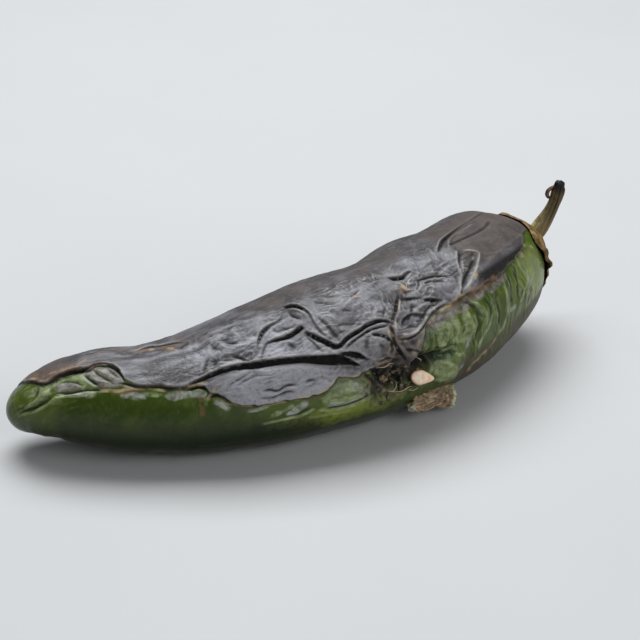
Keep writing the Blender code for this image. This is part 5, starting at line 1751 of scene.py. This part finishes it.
def skin_material():
    look = Look("roasted_skin", Specular_IOR_Level=0.3)
    where = look.place()
    char = look.mask("char")
    gap = look.mask("gap")
    broad = look.noise(where, 9.0, 3.0)
    cloud = look.noise(where, 3.2, 5.0, 0.6)
    mottled = look.noise(where, 1.6, 4.0)
    speck = look.noise(where, 0.5, 3.0, 0.7)
    veins = look.noise(look.place(1.0, 0.3, 0.3), 1.5, 4.0, 0.6, 0.5)
    worn = look.ramp(look.noise(look.place(0.5, 1.0, 1.0), 0.9, 5.0, 0.7, 0.6), 0.32, 0.68)

    # green flesh under a glossy skin
    green = look.mix(look.ramp(broad, 0.35, 0.65), (0.031, 0.054, 0.003), (0.068, 0.102, 0.009))
    green = look.mix(look.ramp(mottled, 0.5, 0.8, 0.0, 0.35), green, (0.09, 0.125, 0.024))
    green = look.mix(look.ramp(mottled, 0.45, 0.25, 0.0, 0.35), green, (0.05, 0.045, 0.012))
    green = look.mix(look.ramp(veins, 0.55, 0.7, 0.0, 0.4), green, (0.095, 0.13, 0.03))
    green = look.layered(
        green,
        ("fresh", look.ramp(veins, 0.3, 0.6, 0.5, 1.0), (0.145, 0.18, 0.055)),
        ("deep", 1.0, (0.01, 0.03, 0.003)),
        ("lime", 1.0, look.mix(veins, (0.125, 0.16, 0.012), (0.25, 0.29, 0.032))),
        # painted highlight on the green skin's ridges
        ("painted_crest_light", 0.6, (0.22, 0.28, 0.1)),
        # painted shade low on the pod, towards the floor
        ("underside", 0.95, (0.005, 0.01, 0.001)),
        ("pale", 0.85, look.mix(worn, (0.1, 0.135, 0.048), (0.3, 0.34, 0.18))),
        # whitish films, and painted highlights where the skin is glossy
        ("white_and_glint", 0.85, look.mix(worn, (0.15, 0.165, 0.125), (0.42, 0.43, 0.385))),
        ("ash", 1.0, look.mix(worn, (0.062, 0.05, 0.044), (0.235, 0.21, 0.195))),
    )

    # char: near black, with painted sheen on its facets and painted highlights on its crests
    black = look.mix(look.ramp(cloud, 0.35, 0.7), (0.028, 0.025, 0.026), (0.072, 0.066, 0.07))
    black = look.layered(black, ("film", 1.0, (0.26, 0.26, 0.285)), ("painted_crest_light", 0.6, (0.3, 0.285, 0.285)))
    black = look.mix(look.ramp(speck, 0.52, 0.78, 0.0, 0.6), black, (0.014, 0.012, 0.013))
    # light grey specks: tiny painted glints
    black = look.mix(look.ramp(speck, 0.44, 0.25, 0.0, 0.35), black, (0.24, 0.235, 0.245))
    # near black in that band by the shoulder
    black = look.layered(black, ("dark_band", 1.0, (0.01, 0.008, 0.008)))

    # brown where the char is thin, rust and cream along torn and lifted edges, painted highlights
    # along lifted edges and fold lips, a painted shadow under the char's edge, and painted shade where
    # the skin is sunk
    colour = look.mix(char, green, black)
    colour = look.layered(
        colour,
        ("brown", look.times(look.ramp(cloud, 0.3, 0.6, 0.5, 1.0), 0.85),
         look.mix(mottled, (0.03, 0.02, 0.015), (0.098, 0.068, 0.051))),
        ("rust", 0.85, look.mix(mottled, (0.045, 0.022, 0.009), (0.25, 0.13, 0.062))),
        ("edge_shade", 0.75, (0.035, 0.022, 0.01)),
        ("light", 0.75, look.mix(char, (0.2, 0.26, 0.11), (0.35, 0.335, 0.32))),
        ("cream", 0.9, look.mix(mottled, (0.2, 0.13, 0.075), (0.52, 0.42, 0.26))),
        ("painted_hollow_shade", 0.85, look.mix(char, (0.008, 0.014, 0.002), (0.011, 0.008, 0.005))),
    )
    # painted shade: near black in the gaps, along creases and in the burst's mouth
    colour = look.mix(gap, colour, (0.006, 0.0048, 0.004))

    rough = look.blend(char, 0.26, look.ramp(cloud, 0.3, 0.7, 0.25, 0.4))
    for name, value in (("matte", 0.66), ("brown", 0.55), ("pale", 0.34), ("ash", 0.45)):
        rough = look.blend(look.mask(name), rough, value)
    rough = look.blend(gap, rough, 0.9)

    # the char is grainy and streaked, and the green skin is nearly smooth
    grainy = look.blend(char, 0.22, 1.0)
    fine = look.times(look.noise(where, 0.42, 5.0, 0.7, 0.4), grainy)
    streak = look.times(look.noise(look.place(0.35, 1.0, 1.0), 0.7, 4.0, 0.6, 0.8), grainy)
    normal = look.bump(look.ramp(look.cells(where, 0.9), 0.0, 0.12), 0.05, 0.2)
    normal = look.bump(fine, 0.16, 0.75, normal)
    normal = look.bump(streak, 0.16, 0.45, normal)
    return look.finish(colour, rough, normal)


def seed_material():
    look = Look(
        "dry_seed",
        Subsurface_Weight=0.25,
        Subsurface_Radius=(0.6 * MM, 0.35 * MM, 0.2 * MM),
        Subsurface_Scale=1.0,
    )
    where = look.place()
    colour = look.mix(look.noise(where, 0.9, 4.0), (0.8, 0.62, 0.45), (0.9, 0.76, 0.6))
    colour = look.layered(colour, ("rim", 0.6, (0.74, 0.45, 0.24)), ("beak", 0.35, (0.62, 0.36, 0.18)))
    return look.finish(colour, 0.38, look.bump(look.noise(where, 0.16, 3.0, 0.6), 0.03, 0.5))


def flap_material():
    look = Look("torn_flesh")
    where = look.place()
    cloud = look.noise(where, 0.8, 5.0, 0.65)
    grain = look.noise(look.place(0.4, 1.0, 1.0), 0.45, 5.0, 0.7)
    colour = look.mix(look.ramp(cloud, 0.35, 0.65), (0.07, 0.043, 0.022), (0.24, 0.165, 0.088))
    streak = look.times(look.ramp(look.mask("fibre"), 0.55, 0.9), look.ramp(grain, 0.4, 0.6))
    colour = look.mix(look.times(streak, 0.8), colour, (0.44, 0.33, 0.19))
    pits = look.ramp(look.noise(where, 0.35, 3.0, 0.6), 0.42, 0.3)
    colour = look.mix(look.times(pits, 0.75), colour, (0.014, 0.009, 0.006))
    colour = look.layered(
        colour,
        ("tear", 1.0, look.mix(look.ramp(cloud, 0.42, 0.55), (0.13, 0.22, 0.03), (0.5, 0.48, 0.36))),
        ("left_tip", 1.0, (0.35, 0.33, 0.22)),
        ("upper", 0.35, (0.03, 0.022, 0.014)),
    )
    return look.finish(colour, 0.6, look.bump(grain, 0.2, 0.7))


def crumb_material():
    look = Look("char_crumb")
    cloud = look.noise(look.place(), 0.4, 4.0)
    colour = look.mix(cloud, (0.006, 0.005, 0.006), (0.045, 0.035, 0.032))
    colour = look.layered(colour, ("tint", 1.0, (0.26, 0.17, 0.09)))
    return look.finish(colour, 0.45, look.bump(cloud, 0.12, 0.6))


def pith_material():
    look = Look("dry_pith")
    cloud = look.noise(look.place(), 0.5, 4.0)
    colour = look.mix(cloud, (0.3, 0.22, 0.11), (0.55, 0.46, 0.28))
    return look.finish(colour, 0.55, look.bump(cloud, 0.05, 0.5))


def peel_material():
    look = Look("dried_peel")
    cloud = look.noise(look.place(), 0.5, 4.0)
    colour = look.mix(look.ramp(cloud, 0.4, 0.6), (0.04, 0.026, 0.016), (0.16, 0.1, 0.06))
    return look.finish(colour, 0.6, look.bump(cloud, 0.1, 0.6))


def stem_material():
    look = Look("dried_stem", Specular_IOR_Level=0.25)
    where = look.place()
    cloud = look.noise(where, 1.4, 5.0, 0.6)
    fine = look.noise(where, 0.3, 4.0, 0.65)
    up = look.mask("up_stem")
    side = look.mask("green_and_painted_lit_side")

    # one side of the stem and its dried top greener and lighter: its own green, and painted light on
    # the side towards the lamps
    stem = look.mix(side, (0.15, 0.11, 0.045), (0.3, 0.34, 0.12))
    stem = look.mix(look.ramp(cloud, 0.48, 0.62), stem, (0.15, 0.095, 0.05))
    dried = look.mix(side, (0.06, 0.044, 0.018), (0.16, 0.12, 0.055))
    stem = look.mix(look.ramp(up, 0.3, 0.62), stem, dried)
    stem = look.layered(stem, ("rib", 0.3, (0.2, 0.15, 0.07)))
    stem = look.mix(look.ramp(up, 0.84, 0.95), stem, (0.012, 0.009, 0.007))

    calyx = look.mix(look.ramp(cloud, 0.35, 0.65), (0.08, 0.048, 0.008), (0.21, 0.125, 0.026))
    calyx = look.mix(look.ramp(fine, 0.5, 0.75, 0.0, 0.7), calyx, (0.034, 0.022, 0.007))
    rim = look.mix(look.ramp(cloud, 0.42, 0.66), (0.03, 0.019, 0.006), (0.26, 0.165, 0.08))
    calyx = look.layered(calyx, ("rim", 0.6, rim))

    normal = look.bump(look.cells(where, 0.8), 0.1, 0.3, look.bump(fine, 0.12, 0.6))
    return look.finish(look.mix(look.mask("on_calyx"), stem, calyx), 0.55, normal)


def floor_material():
    look = Look("pale_floor")
    colour = look.mix(look.noise(look.place(), 60.0, 3.0), (0.43, 0.43, 0.43), (0.46, 0.46, 0.457))
    return look.finish(colour, 0.6)


# ================================================================ stage and camera
CAMERA_FIELD = 22
CAMERA_ELEVATION = 28
CAMERA_AZIMUTH = -24
CAMERA_DISTANCE = 262
# From the middle of the axis's two ends
CAMERA_AIM = np.array([5.53, -2.18, 10]) + ORIGIN_SHIFT
SENSOR = 36
# In metres, as the lights are
CAMERA_NEAREST = 0.01
FLOOR_HALF = 1.5
FLOOR_DROP = 0.00002
# Each light's place and aim, its size, its power in W and its colour
LIGHTS = {
    "window": ((0.06, 0.24, 0.5), (0, 0, 0.01), (0.5, 0.36), 4.9, (0.94, 0.97, 1)),
    "front_fill": ((0.25, -0.55, 0.35), (0, 0, 0), (0.6, 0.4), 2.6, (0.97, 0.98, 1)),
}
STUDIO_COLOUR = (0.75, 0.77, 0.8, 1)
STUDIO_STRENGTH = 0.2


def put_up(name, data, place, aim):
    """A camera or light at a place in m, turned to its aim."""
    obj = bpy.data.objects.new(name, data)
    obj.location = Vector(place)
    obj.rotation_euler = (Vector(aim) - Vector(place)).to_track_quat("-Z", "Y").to_euler()
    bpy.context.scene.collection.objects.link(obj)
    return obj


def make_camera():
    a = np.radians(CAMERA_AZIMUTH)
    e = np.radians(CAMERA_ELEVATION)
    back = np.array([np.sin(a) * np.cos(e), -np.cos(a) * np.cos(e), np.sin(e)])
    data = bpy.data.cameras.new("photo_view")
    data.sensor_width = SENSOR
    data.lens = SENSOR / 2.0 / np.tan(np.radians(CAMERA_FIELD / 2.0))
    data.clip_start = CAMERA_NEAREST
    place = (CAMERA_AIM + back * CAMERA_DISTANCE) * MM
    bpy.context.scene.camera = put_up("photo_view", data, place, CAMERA_AIM * MM)


def make_floor():
    corners = np.array([(-1, -1, 0), (1, -1, 0), (1, 1, 0), (-1, 1, 0)]) * FLOOR_HALF / MM
    floor = mesh_object("floor", corners, [(0, 1, 2, 3)])
    floor.location = (0, 0, -FLOOR_DROP)
    floor.data.materials.append(floor_material())


def make_studio():
    for name, (place, aim, size, power, colour) in LIGHTS.items():
        data = bpy.data.lights.new(name, "AREA")
        data.shape = "RECTANGLE"
        data.size, data.size_y = size
        data.energy = power
        data.color = colour
        put_up(name, data, place, aim)
    world = bpy.data.worlds.new("studio")
    world.use_nodes = True
    background = world.node_tree.nodes["Background"]
    background.inputs["Color"].default_value = STUDIO_COLOUR
    background.inputs["Strength"].default_value = STUDIO_STRENGTH
    bpy.context.scene.world = world
    bpy.context.scene.view_settings.view_transform = "Standard"


# ================================================================ putting it together
def dress(piece, material, node):
    piece.data.materials.append(material)
    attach(piece, "root")
    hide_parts(node)


make_camera()
make_floor()
make_studio()
skin_look = skin_material()
dress(make_pod(), skin_look, "pod")
for patch_name in PATCHES:
    dress(make_patch(patch_name), skin_look, "pod")
dress(make_seed(), seed_material(), "pod")
dress(make_flap(), flap_material(), "pod")
dress(make_crumbs(), crumb_material(), "pod")
dress(make_threads(), pith_material(), "pod")
dress(make_stem_and_calyx(), stem_material(), "stem_and_calyx")
dress(make_peel(), peel_material(), "stem_and_calyx")
